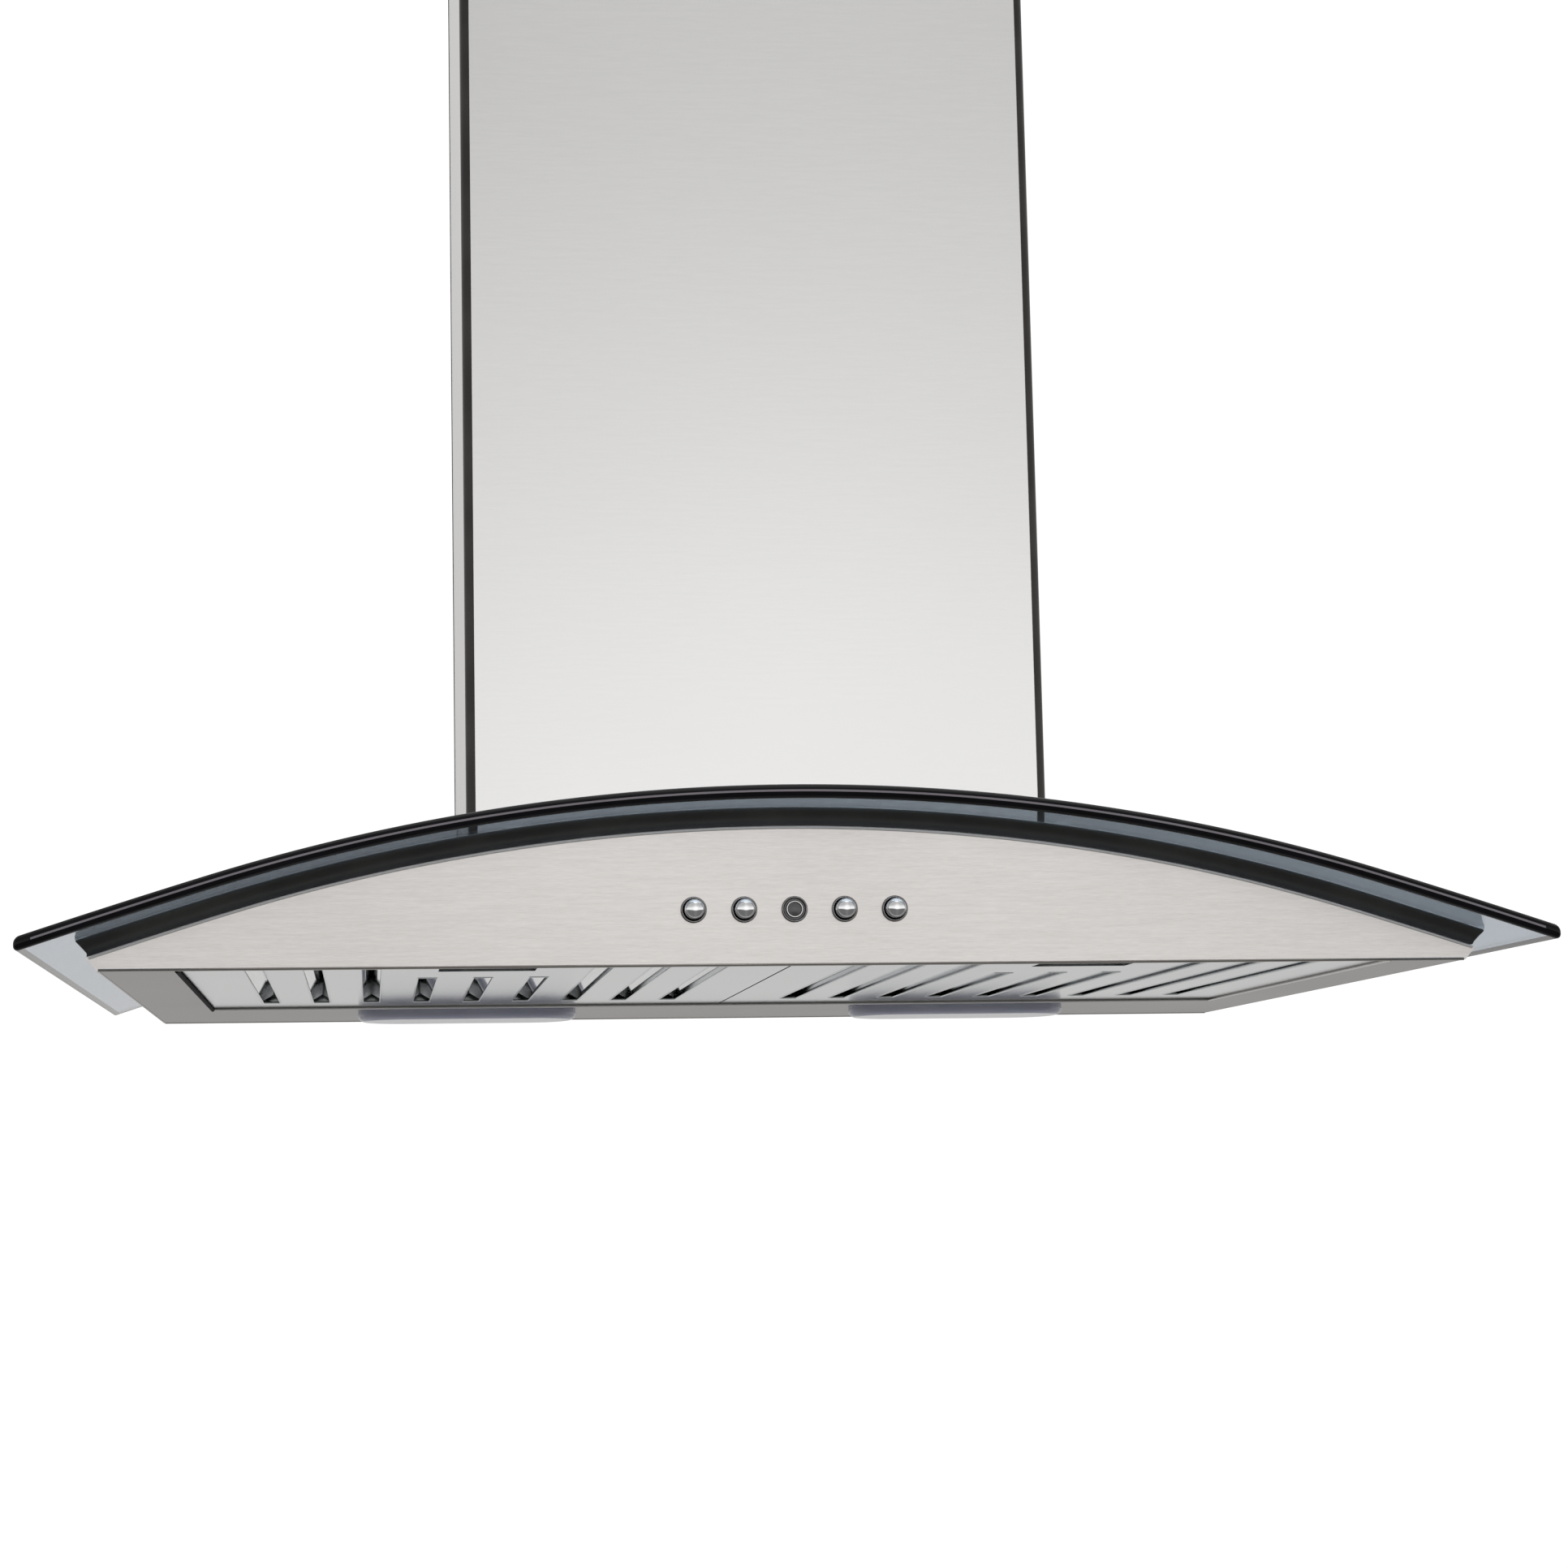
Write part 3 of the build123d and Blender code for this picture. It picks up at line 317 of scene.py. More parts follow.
# %% Moulded skin group
PORE_SCALE, DRIFT_SCALE = 1800.0, 22.0
DUST_CONTRAST = (0.4, 0.75)


def moulded_skin_group():
    """A fine even skin that drifts between two tones."""
    inputs = [
        ("Base", "NodeSocketColor", (0.05, 0.05, 0.05, 1)),
        ("Dusty", "NodeSocketColor", (0.08, 0.08, 0.08, 1)),
    ] + numbers(Smooth=0.35, Rough=0.5)
    tree, entry, leave = new_group("moulded_skin", "ShaderNodeTree", inputs, EFFECT_OUTPUTS)
    pores = object_noise(tree, (1.0, 1.0, 1.0), scale=PORE_SCALE, detail=2.0)
    drift = object_noise(tree, (1.0, 1.0, 1.0), scale=DRIFT_SCALE, detail=4.0)
    dust = map_range(tree, drift, DUST_CONTRAST, (0.0, 1.0))
    colour = mix_colour(tree, dust, entry.outputs["Base"], entry.outputs["Dusty"])
    roughness = between_limits(tree, entry, drift)
    return hand_out(tree, leave, Colour=colour, Roughness=roughness, Height=pores)


MOULDED_SKIN = moulded_skin_group()
print("moulded skin nodes", len(MOULDED_SKIN.nodes))

# %% [markdown]
# ## Zinc flowers
# Hidden sheet steel is dipped in zinc, which freezes in flat crystals of a few millimetres, each
# catching the light a little differently. A cell pattern gives one grey to each crystal.

# %% Zinc group
ZINC_ROUGHNESS = (0.32, 0.52)


def zinc_flower_group():
    """Flat crystals, each with its own grey and roughness."""
    inputs = [
        ("Light", "NodeSocketColor", (0.62, 0.64, 0.66, 1)),
        ("Dark", "NodeSocketColor", (0.42, 0.44, 0.46, 1)),
    ] + numbers(Crystals=130.0)
    tree, entry, leave = new_group("zinc_flowers", "ShaderNodeTree", inputs, EFFECT_OUTPUTS[:2])
    place = new_node(tree, "ShaderNodeTexCoord")
    cells = new_node(tree, "ShaderNodeTexVoronoi")
    grey = new_node(tree, "ShaderNodeSeparateColor")
    wire(
        tree,
        (place.outputs["Object"], cells.inputs["Vector"]),
        (entry.outputs["Crystals"], cells.inputs["Scale"]),
        (cells.outputs["Color"], grey.inputs[0]),
    )
    colour = mix_colour(tree, grey.outputs[0], entry.outputs["Dark"], entry.outputs["Light"])
    roughness = map_range(tree, grey.outputs[1], (0.0, 1.0), ZINC_ROUGHNESS)
    return hand_out(tree, leave, Colour=colour, Roughness=roughness)


ZINC_FLOWERS = zinc_flower_group()
print("zinc nodes", len(ZINC_FLOWERS.nodes))

# %% [markdown]
# ## Materials
# Each material is one Principled BSDF with one of the groups in front of it. What is the same all
# over a surface, such as the metallic value or a clear coat, is set straight on the shader.

# %% Material helpers
BUMP_DEPTH = 0.0002
FINISH = {}


def finish(name, group, values, bump=0.0, **shader_values):
    """Keeps a material by name: a group for colour, roughness and bump, plain values on the shader."""
    material = bpy.data.materials.new(name)
    material.use_nodes = True
    tree = material.node_tree
    shader = tree.nodes["Principled BSDF"]
    effect = new_node(tree, "ShaderNodeGroup", node_tree=group)
    for label, value in values.items():
        effect.inputs[label].default_value = value
    wire(
        tree,
        (effect.outputs["Colour"], shader.inputs["Base Color"]),
        (effect.outputs["Roughness"], shader.inputs["Roughness"]),
    )
    if bump:
        relief = new_node(tree, "ShaderNodeBump")
        relief.inputs["Strength"].default_value = bump
        relief.inputs["Distance"].default_value = BUMP_DEPTH
        wire(
            tree,
            (effect.outputs["Height"], relief.inputs["Height"]),
            (relief.outputs[0], shader.inputs["Normal"]),
        )
    for label, value in shader_values.items():
        shader.inputs[label.replace("_", " ")].default_value = value
    FINISH[name] = material


def steel(name, stretch, light, dark, smooth, rough, bump=0.12):
    """Brushed metal: its grain, its two tones and its least and greatest roughness."""
    values = {"Light": (*light, 1), "Dark": (*dark, 1), "Smooth": smooth, "Rough": rough}
    finish(name, BRUSHED_GRAIN, values | {"Stretch": stretch}, bump=bump, Metallic=1.0)


def skin(name, base, dusty, smooth, rough, bump=0.1, **shader_values):
    """Moulded or painted stuff: its two tones and its least and greatest roughness."""
    values = {"Base": (*base, 1), "Dusty": (*dusty, 1), "Smooth": smooth, "Rough": rough}
    finish(name, MOULDED_SKIN, values, bump=bump, **shader_values)


# %% Metal finishes
ALONG_X = (140.0, 2200.0, 2200.0)
ALONG_Y = (1600.0, 45.0, 1600.0)
ALONG_Z = (1600.0, 1600.0, 45.0)
EVERY_WAY = (300.0, 300.0, 300.0)

steel("panel_steel", ALONG_X, (0.87, 0.845, 0.825), (0.73, 0.705, 0.685), 0.28, 0.36, 0.08)
# A paler copy of the panel steel for the folded edges: a painted highlight that makes them a bright line.
steel("fold_painted_highlight_steel", ALONG_X, (0.96, 0.95, 0.94), (0.90, 0.89, 0.88), 0.58, 0.68, 0.0)
steel("frame_steel", ALONG_X, (0.40, 0.385, 0.375), (0.32, 0.31, 0.30), 0.3, 0.4)
steel("side_steel", ALONG_Y, (0.62, 0.60, 0.58), (0.52, 0.50, 0.48), 0.26, 0.36)
steel("cover_steel", ALONG_X, (0.81, 0.81, 0.81), (0.785, 0.785, 0.785), 0.2, 0.25, 0.02)
steel("filter_steel", ALONG_Y, (0.66, 0.685, 0.695), (0.58, 0.605, 0.62), 0.10, 0.18, 0.03)
steel("vee_steel", ALONG_Y, (0.86, 0.87, 0.88), (0.72, 0.73, 0.74), 0.02, 0.05, 0.0)
steel("latch_steel", ALONG_X, (0.80, 0.80, 0.79), (0.64, 0.64, 0.63), 0.16, 0.26)
steel("chrome", ALONG_Z, (0.88, 0.89, 0.90), (0.84, 0.85, 0.86), 0.05, 0.09, 0.0)
# Dark chrome for the control rings, darkened further as a painted shadow round the button caps.
steel("ring_chrome_painted_shade", ALONG_Z, (0.24, 0.235, 0.235), (0.17, 0.165, 0.165), 0.1, 0.18, 0.0)
# A darker copy of the panel steel for the hems: painted shade for the dark line along the foot of each
# panel.
steel("hem_painted_shade_steel", ALONG_X, (0.40, 0.38, 0.36), (0.30, 0.285, 0.27), 0.16, 0.24, 0.0)
steel("screw_steel", EVERY_WAY, (0.66, 0.66, 0.66), (0.46, 0.46, 0.47), 0.2, 0.34)
steel("can_aluminium", ALONG_Z, (0.82, 0.83, 0.84), (0.66, 0.67, 0.68), 0.26, 0.4)
finish("zinc", ZINC_FLOWERS, {"Crystals": 130.0}, Metallic=1.0)
print("metals ready")

# %% Plastic, rubber and paint
skin("black_rubber", (0.016, 0.016, 0.015), (0.034, 0.033, 0.030), 0.36, 0.55)
# Near-black, barely shiny rubber for the cord at the left of the filters: a painted shadow of the gap
# there.
skin("gap_painted_shadow_rubber", (0.006, 0.006, 0.006), (0.012, 0.012, 0.012), 0.7, 0.9, Specular_IOR_Level=0.15)
skin("black_plastic", (0.018, 0.018, 0.02), (0.045, 0.045, 0.048), 0.32, 0.48)
skin("pale_plastic", (0.62, 0.64, 0.62), (0.5, 0.51, 0.49), 0.35, 0.5)
skin("motor_paint", (0.05, 0.07, 0.11), (0.09, 0.11, 0.15), 0.3, 0.42, Coat_Weight=0.3)
# Near black for the chimney's corner trims: a painted reflection of the dark studio in the bent steel
# corners.
skin("corner_black", (0.028, 0.025, 0.023), (0.05, 0.046, 0.042), 0.2, 0.32, Metallic=0.4)
skin(
    "pilot_smoke", (0.075, 0.073, 0.075), (0.10, 0.097, 0.098), 0.16, 0.26, Coat_Weight=0.4, Metallic=0.5
)
# Near black for the glass's ground edge, painted shade for light lost inside the glass; a paler line
# along its middle, a painted highlight.
skin("glass_edge_painted_shade", (0.003, 0.003, 0.004), (0.006, 0.006, 0.008), 0.08, 0.14, 0.0, Specular_IOR_Level=0.15)
skin("glass_edge_painted_highlight", (0.17, 0.155, 0.18), (0.21, 0.195, 0.22), 0.25, 0.35)
print("plastics ready")

# %% [markdown]
# ## Glass and translucent plastic
# The canopy is smoked float glass, which lets light through a little blue-grey. The lamp covers are
# moulded plastic that passes light but blurs it. Both keep plain metallic and transmission values.

# %% Glass finishes
skin(
    "smoked_glass", (0.55, 0.64, 0.74), (0.53, 0.62, 0.72), 0.0, 0.02, 0.0,
    Transmission_Weight=1.0, IOR=1.5
)
skin(
    "lens_plastic", (0.58, 0.60, 0.71), (0.52, 0.54, 0.66), 0.02, 0.06, 0.03,
    Transmission_Weight=0.6, IOR=1.49
)
skin("bulb_glass", (0.9, 0.9, 0.88), (0.85, 0.85, 0.83), 0.25, 0.4, Transmission_Weight=0.6, IOR=1.5)
print("glass ready")

# %% Finish of each engineered part
# A part's finish has the name of its slot in the record, unless one of these tables says another.
SLOT_FINISHES = {"brushed_steel": "panel_steel", "galvanised_steel": "zinc", "chrome_caps": "chrome"}
OWN_FINISHES = {"bottom_frame": "frame_steel"}
for side in SIDES:
    OWN_FINISHES["side_wall_" + side] = "side_steel"
    OWN_FINISHES["filter_baffles_" + side] = "vee_steel"
    OWN_FINISHES["filter_latch_" + side] = "latch_steel"


def dress(thing, finish_name):
    """Puts one finish on every slot of a part."""
    if not thing.material_slots:
        thing.data.materials.append(None)
    for slot in thing.material_slots:
        slot.material = FINISH[finish_name]


part_slots = {row["node"]: row["material_slot"] for row in frame["record"]["subparts"]}
for name, part in frame["nodes"].items():
    slot_name = part_slots[name]
    dress(part, OWN_FINISHES.get(name, SLOT_FINISHES.get(slot_name, slot_name)))
print("dressed", len(frame["nodes"]), "parts")

# %% [markdown]
# ## Trees that make pieces
# A Geometry Nodes tree turns a few numbers into a shape, and the numbers can be changed later. Each
# tree below ends by turning its copies into real faces and painting them. The finished shape is then
# read back as a plain mesh, so that nothing is left to work out when the hood moves.

# %% Tree helpers
def geometry_group(name, inputs):
    """A tree that takes a mesh, a material and some numbers."""
    sockets = [("Geometry", "NodeSocketGeometry", None), ("Material", "NodeSocketMaterial", None)]
    return new_group(name, "GeometryNodeTree", sockets + inputs, [("Geometry", "NodeSocketGeometry")])


def close_tree(tree, leave, geometry, entry):
    """Ends a tree: real faces, then the material."""
    realize = new_node(tree, "GeometryNodeRealizeInstances")
    paint = new_node(tree, "GeometryNodeSetMaterial")
    wire(
        tree,
        (geometry, realize.inputs["Geometry"]),
        (realize.outputs[0], paint.inputs["Geometry"]),
        (entry.outputs["Material"], paint.inputs["Material"]),
        (paint.outputs[0], leave.inputs["Geometry"]),
    )
    return tree


def smooth_by_angle(mesh, degrees=32):
    """Smooth shading, with sharp edges where faces meet at more than an angle."""
    mesh.shade_smooth()
    mesh.set_sharp_from_angle(angle=math.radians(degrees))


def grown(name, start, tree, finish_name, **values):
    """Runs a tree on a start mesh and gives the result as a plain mesh."""
    carrier = add_object(name, start)
    modifier = carrier.modifiers.new("tree", "NODES")
    modifier.node_group = tree
    sockets = {s.name: s.identifier for s in tree.interface.items_tree if s.in_out == "INPUT"}
    modifier[sockets["Material"]] = FINISH[finish_name]
    for label, value in values.items():
        modifier[sockets[label]] = value
    evaluated = carrier.evaluated_get(bpy.context.evaluated_depsgraph_get())
    result = bpy.data.meshes.new_from_object(evaluated)
    bpy.data.objects.remove(carrier)
    result.name = name
    smooth_by_angle(result)
    return result


def as_mesh(bm, name):
    """Closes a bmesh and gives it as a mesh."""
    mesh = bpy.data.meshes.new(name)
    bm.to_mesh(mesh)
    bm.free()
    return mesh


def place_piece(name, mesh, body, slot, *replaced):
    """Links a finished mesh, lets it ride on its body and hides the parts it replaces."""
    piece = add_object(name, mesh)
    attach(piece, body)
    if replaced:
        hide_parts(*replaced)
    print(name, "with", len(mesh.polygons), "faces rides on", body)


# %% [markdown]
# ## The arch
# The canopy is a flat pane that is heated until it sags over a curved mould: a tight arc in the
# middle and a wide one towards each end. The tree does the same. It takes anything made flat, reads
# each point's distance across and its height over the underside, and lifts it on to the arch. The
# glass and the rubber below it pass through the same tree, so they fit each other everywhere.

# %% Arch tree
APEX = 0.094
CROWN_RADIUS = 1.160
CROWN_HALF_ANGLE = 0.30
WING_RADIUS = 5.380


def arch_tree():
    """Bends flat pieces over a crown arc with a wider arc on each side."""
    sizes = numbers(
        Underside=UNDERSIDE,
        Apex=APEX,
        Crown_radius=CROWN_RADIUS,
        Crown_half_angle=CROWN_HALF_ANGLE,
        Wing_radius=WING_RADIUS,
    )
    tree, entry, leave = geometry_group("bend_over_arch", sizes)

    def calc(operation, *values):
        return math_node(tree, operation, *values)

    def under_root(radius, across):
        return calc("SQRT", calc("SUBTRACT", *(calc("MULTIPLY", n, n) for n in (radius, across))))

    here = new_node(tree, "GeometryNodeInputPosition")
    parts = new_node(tree, "ShaderNodeSeparateXYZ")
    wire(tree, (here.outputs[0], parts.inputs[0]))
    across, height = calc("ABSOLUTE", parts.outputs["X"]), parts.outputs["Z"]
    crown, wing = entry.outputs["Crown radius"], entry.outputs["Wing radius"]
    sine = calc("SINE", entry.outputs["Crown half angle"])
    cosine = calc("COSINE", entry.outputs["Crown half angle"])
    crown_z = calc("SUBTRACT", entry.outputs["Apex"], crown)
    crown_out = calc("ADD", crown, height)
    in_crown = calc("ADD", crown_z, under_root(crown_out, across))
    shift = calc("SUBTRACT", wing, crown)
    wing_z = calc("SUBTRACT", crown_z, calc("MULTIPLY", shift, cosine))
    from_wing = calc("ADD", across, calc("MULTIPLY", shift, sine))
    in_wing = calc("ADD", wing_z, under_root(calc("ADD", wing, height), from_wing))
    beyond = calc("GREATER_THAN", across, calc("MULTIPLY", crown_out, sine))
    choice = new_node(tree, "ShaderNodeMix", data_type="FLOAT")
    lifted = new_node(tree, "ShaderNodeCombineXYZ")
    move = new_node(tree, "GeometryNodeSetPosition")
    wire(
        tree,
        (beyond, choice.inputs[0]),
        (in_crown, choice.inputs[2]),
        (in_wing, choice.inputs[3]),
        (parts.outputs["X"], lifted.inputs[0]),
        (parts.outputs["Y"], lifted.inputs[1]),
        (calc("ADD", choice.outputs[0], entry.outputs["Underside"]), lifted.inputs[2]),
        (entry.outputs["Geometry"], move.inputs["Geometry"]),
        (lifted.outputs[0], move.inputs["Position"]),
    )
    return close_tree(tree, leave, move.outputs[0], entry)


ARCH = arch_tree()
print("arch tree has", len(ARCH.nodes), "nodes")

# %% [markdown]
# ## The glass canopy
# The pane is cut flat first: a grid of cells, finer across than deep, with a window for the blower
# box. Its outer edges are ground round like a pencil before the glass is bent. The grid is wanted
# because a bend needs vertices to bend at. The ground edge is given a near-black finish, painted
# shade for the light that enters there and runs a long way inside, with a pale line along its middle
# that is a painted highlight.
# A narrow row of cells beside the rim keeps the rounded shading from spreading over the flat glass,
# which would bend the light that passes through and turn it black.

# %% Flat sheet with a window
def flat_sheet(x_stops, y_stops, thickness, window):
    """A closed sheet of cells; the cells inside the window (half x, half y) are left out."""
    bm = bmesh.new()
    grid = [[[bm.verts.new((x, y, z)) for y in y_stops] for x in x_stops] for z in (0.0, thickness)]
    columns, rows = range(len(x_stops) - 1), range(len(y_stops) - 1)

    def kept(i, j):
        if i not in columns or j not in rows:
            return False
        middle_x, middle_y = (x_stops[i] + x_stops[i + 1]) / 2, (y_stops[j] + y_stops[j + 1]) / 2
        return abs(middle_x) > window[0] or abs(middle_y) > window[1]

    for i in columns:
        for j in rows:
            if not kept(i, j):
                continue
            ring = ((i, j), (i + 1, j), (i + 1, j + 1), (i, j + 1))
            bm.faces.new([grid[1][a][b] for a, b in ring])
            bm.faces.new([grid[0][a][b] for a, b in reversed(ring)])
            walls = (((i, j - 1), 0), ((i + 1, j), 1), ((i, j + 1), 2), ((i - 1, j), 3))
            for (near_i, near_j), side in walls:
                if not kept(near_i, near_j):
                    (a, b), (c, d) = ring[side], ring[(side + 1) % 4]
                    bm.faces.new([grid[0][a][b], grid[0][c][d], grid[1][c][d], grid[1][a][b]])
    loose = [v for v in bm.verts if not v.link_faces]
    bmesh.ops.delete(bm, geom=loose, context="VERTS")
    bmesh.ops.recalc_face_normals(bm, faces=bm.faces)
    return bm


def rounded(bm, edges, offset, segments):
    """Rounds some edges of a shape."""
    bmesh.ops.bevel(bm, geom=edges, offset=offset, segments=segments, affect="EDGES", profile=0.5)


def on_rim(edge, half_x, half_y):
    """Whether an edge lies on the outer rim, where two faces meet sharply."""
    outside = all(abs(v.co.x) > half_x - HAIR or abs(v.co.y) > half_y - HAIR for v in edge.verts)
    return outside and edge.calc_face_angle(0) > 1.0


def stops(half, *extra):
    """Evenly spaced places from -half to half, with some more put in."""
    count = round(2 * half / CELL)
    return sorted({round(-half + 2 * half * i / count, 5) for i in range(count + 1)} | set(extra))


# %% Glass canopy
CELL = 0.01
GLASS_THICK = 0.008
GLASS_EDGE = 0.0034
EDGE_STEPS = 7
WINDOW = (0.163, 0.128)
SUPPORT = GLASS_EDGE + 0.0012
LINE_END = 0.013

_, glass_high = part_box("glass_canopy")
half_x, half_y = glass_high.x, glass_high.y
support_x, support_y = half_x - SUPPORT, half_y - SUPPORT
across_stops = stops(half_x, -support_x, -WINDOW[0], WINDOW[0], support_x)
deep_stops = [-half_y, -support_y, -WINDOW[1], WINDOW[1], support_y, half_y]
pane = flat_sheet(across_stops, deep_stops, GLASS_THICK, WINDOW)
rounded(pane, [edge for edge in pane.edges if on_rim(edge, half_x, half_y)], GLASS_EDGE, EDGE_STEPS)
glass_mesh = grown("canopy_glass", as_mesh(pane, "flat_pane"), ARCH, "smoked_glass")
glass_mesh.materials.append(FINISH["glass_edge_painted_shade"])
glass_mesh.materials.append(FINISH["glass_edge_painted_highlight"])
# Rim faces take the painted dark edge, and the middle of the front and back edges takes the painted
# highlight line.
for face in glass_mesh.polygons:
    near_x, near_y = half_x - abs(face.center.x), half_y - abs(face.center.y)
    face.material_index = int(min(near_x, near_y) < GLASS_EDGE * 0.9)
    if near_y < HAIR and near_x > LINE_END:
        face.material_index = 2
place_piece("canopy_glass", glass_mesh, "hood", "smoked_glass", "glass_canopy")

# %% [markdown]
# ## The rubber seal
# A black rubber strip lies between the glass and the steel. It is extruded, with a round lip under
# the glass and a slightly hollow face below it. The strip is drawn as its cross-section, pulled out
# straight, cut aslant and rounded at its ends, and then bent by the arch tree.

# %% Strip and its section
SEAL = 0.0113
LIP = 0.0019
HOLLOW = 0.0011
LIP_STEPS, LIP_TURN = 6, 150


def flat_strip(profile, x_stops):
    """A closed bar with a cross-section given as (y, z) points."""
    bm = bmesh.new()
    rings = [[bm.verts.new((x, y, z)) for y, z in profile] for x in x_stops]
    count = len(profile)
    for near, far in zip(rings, rings[1:]):
        for k in range(count):
            bm.faces.new([near[k], near[(k + 1) % count], far[(k + 1) % count], far[k]])
    bm.faces.new(list(reversed(rings[0])))
    bm.faces.new(rings[-1])
    bmesh.ops.recalc_face_normals(bm, faces=bm.faces)
    return bm


def lip_profile(face_y, back_y):
    """The seal's section: a flat back, a round lip under the glass and a hollow face below it."""
    out = -1 if face_y < back_y else 1
    points = [(back_y, -SEAL), (back_y, 0.0)]
    for step in range(LIP_STEPS + 1):
        angle = math.radians(90 - LIP_TURN * step / LIP_STEPS)
        points.append((face_y + out * LIP * (math.cos(angle) - 0.5), LIP * math.sin(angle) - LIP))
    for share in (0.3, 0.6, 0.85, 1.0):
        hollow = HOLLOW * math.sin(math.pi * share)
        points.append((face_y - out * hollow, (2 * LIP - SEAL) * share - 2 * LIP))
    return points


# %% Front and rear seals
END_CUT = 0.75
TIP_ROUND = 0.0010

seal_low, seal_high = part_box("front_seal")
for name, node, face_y, back_y, reach in (
    ("seal_front", "front_seal", seal_low.y, seal_high.y, 0.420),
    ("seal_rear", "rear_seal", -seal_low.y, -seal_high.y, 0.413),
):
    strip = flat_strip(lip_profile(face_y, back_y), stops(reach))
    tips = [e for e in strip.edges if all(abs(abs(v.co.x) - reach) < HAIR for v in e.verts)]
    for vert in {v for e in tips for v in e.verts}:
        vert.co.x += math.copysign(END_CUT, vert.co.x) * vert.co.z
    rounded(strip, tips, TIP_ROUND, 3)
    seal_mesh = grown(name, as_mesh(strip, name), ARCH, "black_rubber")
    place_piece(name, seal_mesh, "hood", "black_rubber", node)

# %% [markdown]
# ## Folded edges
# Sheet steel is never left with a raw edge where a hand can reach it. The tops of both panels and the
# rear and right rims of the filter opening are folded over, which shows as a thin bright line: the
# fold's roundness catches the light, and its steel is a paler copy of the panel steel, a painted
# highlight. A round section that follows a path makes them: the path is a few joined points, and the
# tree sweeps the section. The same tree draws the hem along the foot of each panel, in a darker copy
# of the panel steel that is painted shade, and a near-black rubber cord at the left of the filters,
# which is a painted shadow of the gap there.

# %% Fold tree
def swept(tree, path, radius, sides, capped):
    """A round section pulled along a curve."""
    section = new_node(tree, "GeometryNodeCurvePrimitiveCircle")
    section.inputs["Resolution"].default_value = sides
    sweep = new_node(tree, "GeometryNodeCurveToMesh")
    sweep.inputs["Fill Caps"].default_value = capped
    wire(
        tree,
        (radius, section.inputs["Radius"]),
        (path, sweep.inputs["Curve"]),
        (section.outputs[0], sweep.inputs["Profile Curve"]),
    )
    return sweep.outputs[0]


def follow_path_tree():
    """A round bar along the joined points of its start mesh."""
    tree, entry, leave = geometry_group("fold_along_path", numbers(Radius=0.0008))
    path = new_node(tree, "GeometryNodeMeshToCurve")
    wire(tree, (entry.outputs["Geometry"], path.inputs["Mesh"]))
    bar = swept(tree, path.outputs[0], entry.outputs["Radius"], sides=10, capped=True)
    return close_tree(tree, leave, bar, entry)


def path_mesh(points):
    """A row of joined points."""
    mesh = bpy.data.meshes.new("path")
    mesh.from_pydata(points, [(i, i + 1) for i in range(len(points) - 1)], [])
    return mesh


def place_bar(name, path, radius, finish_name, slot="brushed_steel"):
    """Sweeps a bar along a path and lets it ride on the hood."""
    place_piece(name, grown(name, path, FOLLOW_PATH, finish_name, Radius=radius), "hood", slot)


FOLLOW_PATH = follow_path_tree()

# %% Folds and hems of the panels
FOLD = 0.0008
FOLD_Z = -SEAL - FOLD * 1.3
FOLD_HALF = panel_high.x - 0.002
FOLD_PROUD = 0.0003
HEM = 0.0010
HEM_Z = UNDERSIDE + 0.0004
HEM_HALF = 0.4065
HEM_DEEP = 0.0006

PANELS = (("front_panel", 1), ("rear_panel", -1))
# The folds take the paler fold steel, a painted highlight.
for panel, out in PANELS:
    flat = path_mesh([(x, out * (FRONT_FACE - FOLD_PROUD), FOLD_Z) for x in stops(FOLD_HALF)])
    place_bar(panel + "_fold", grown("bent_path", flat, ARCH, "panel_steel"), FOLD, "fold_painted_highlight_steel")
# The hems take the darker hem steel, painted shade.
for panel, out in PANELS:
    foot = path_mesh([(x, out * (FRONT_FACE + HEM_DEEP), HEM_Z) for x in (-HEM_HALF, HEM_HALF)])
    place_bar(panel + "_hem", foot, HEM, "hem_painted_shade_steel")

# %% Filter opening
GAP_SHADOW_CORD_RADIUS = 0.0013
face_low, face_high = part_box("filter_face_right")
opening_left, opening_right = -face_high.x - 0.0025, face_high.x + 0.0015
opening_rear, opening_front = face_high.y + 0.0022, FRONT_FACE + 0.002
corners = ((opening_left, opening_rear), (opening_right, opening_rear), (opening_right, opening_front))
place_bar("opening_fold", path_mesh([(x, y, UNDERSIDE) for x, y in corners]), FOLD, "fold_painted_highlight_steel")
# A near-black cord at the left of the filters, a painted shadow of the gap between frame and filter.
cord_x, cord_z = -face_high.x - GAP_SHADOW_CORD_RADIUS - 0.0001, UNDERSIDE - 0.0002
cord_path = path_mesh([(cord_x, y, cord_z) for y in (opening_front, opening_rear)])
place_bar("opening_cord", cord_path, GAP_SHADOW_CORD_RADIUS, "gap_painted_shadow_rubber", "black_rubber")

# %% [markdown]
# ## Turned pieces
# Button caps, their rings and screw heads are round, so one outline turned about an axis makes each
# of them. The outline is a list of radii and depths, and every ring of points is joined to the next.

# %% Lathe
DOME_STEPS = 9
DOME_POWER = 2.4


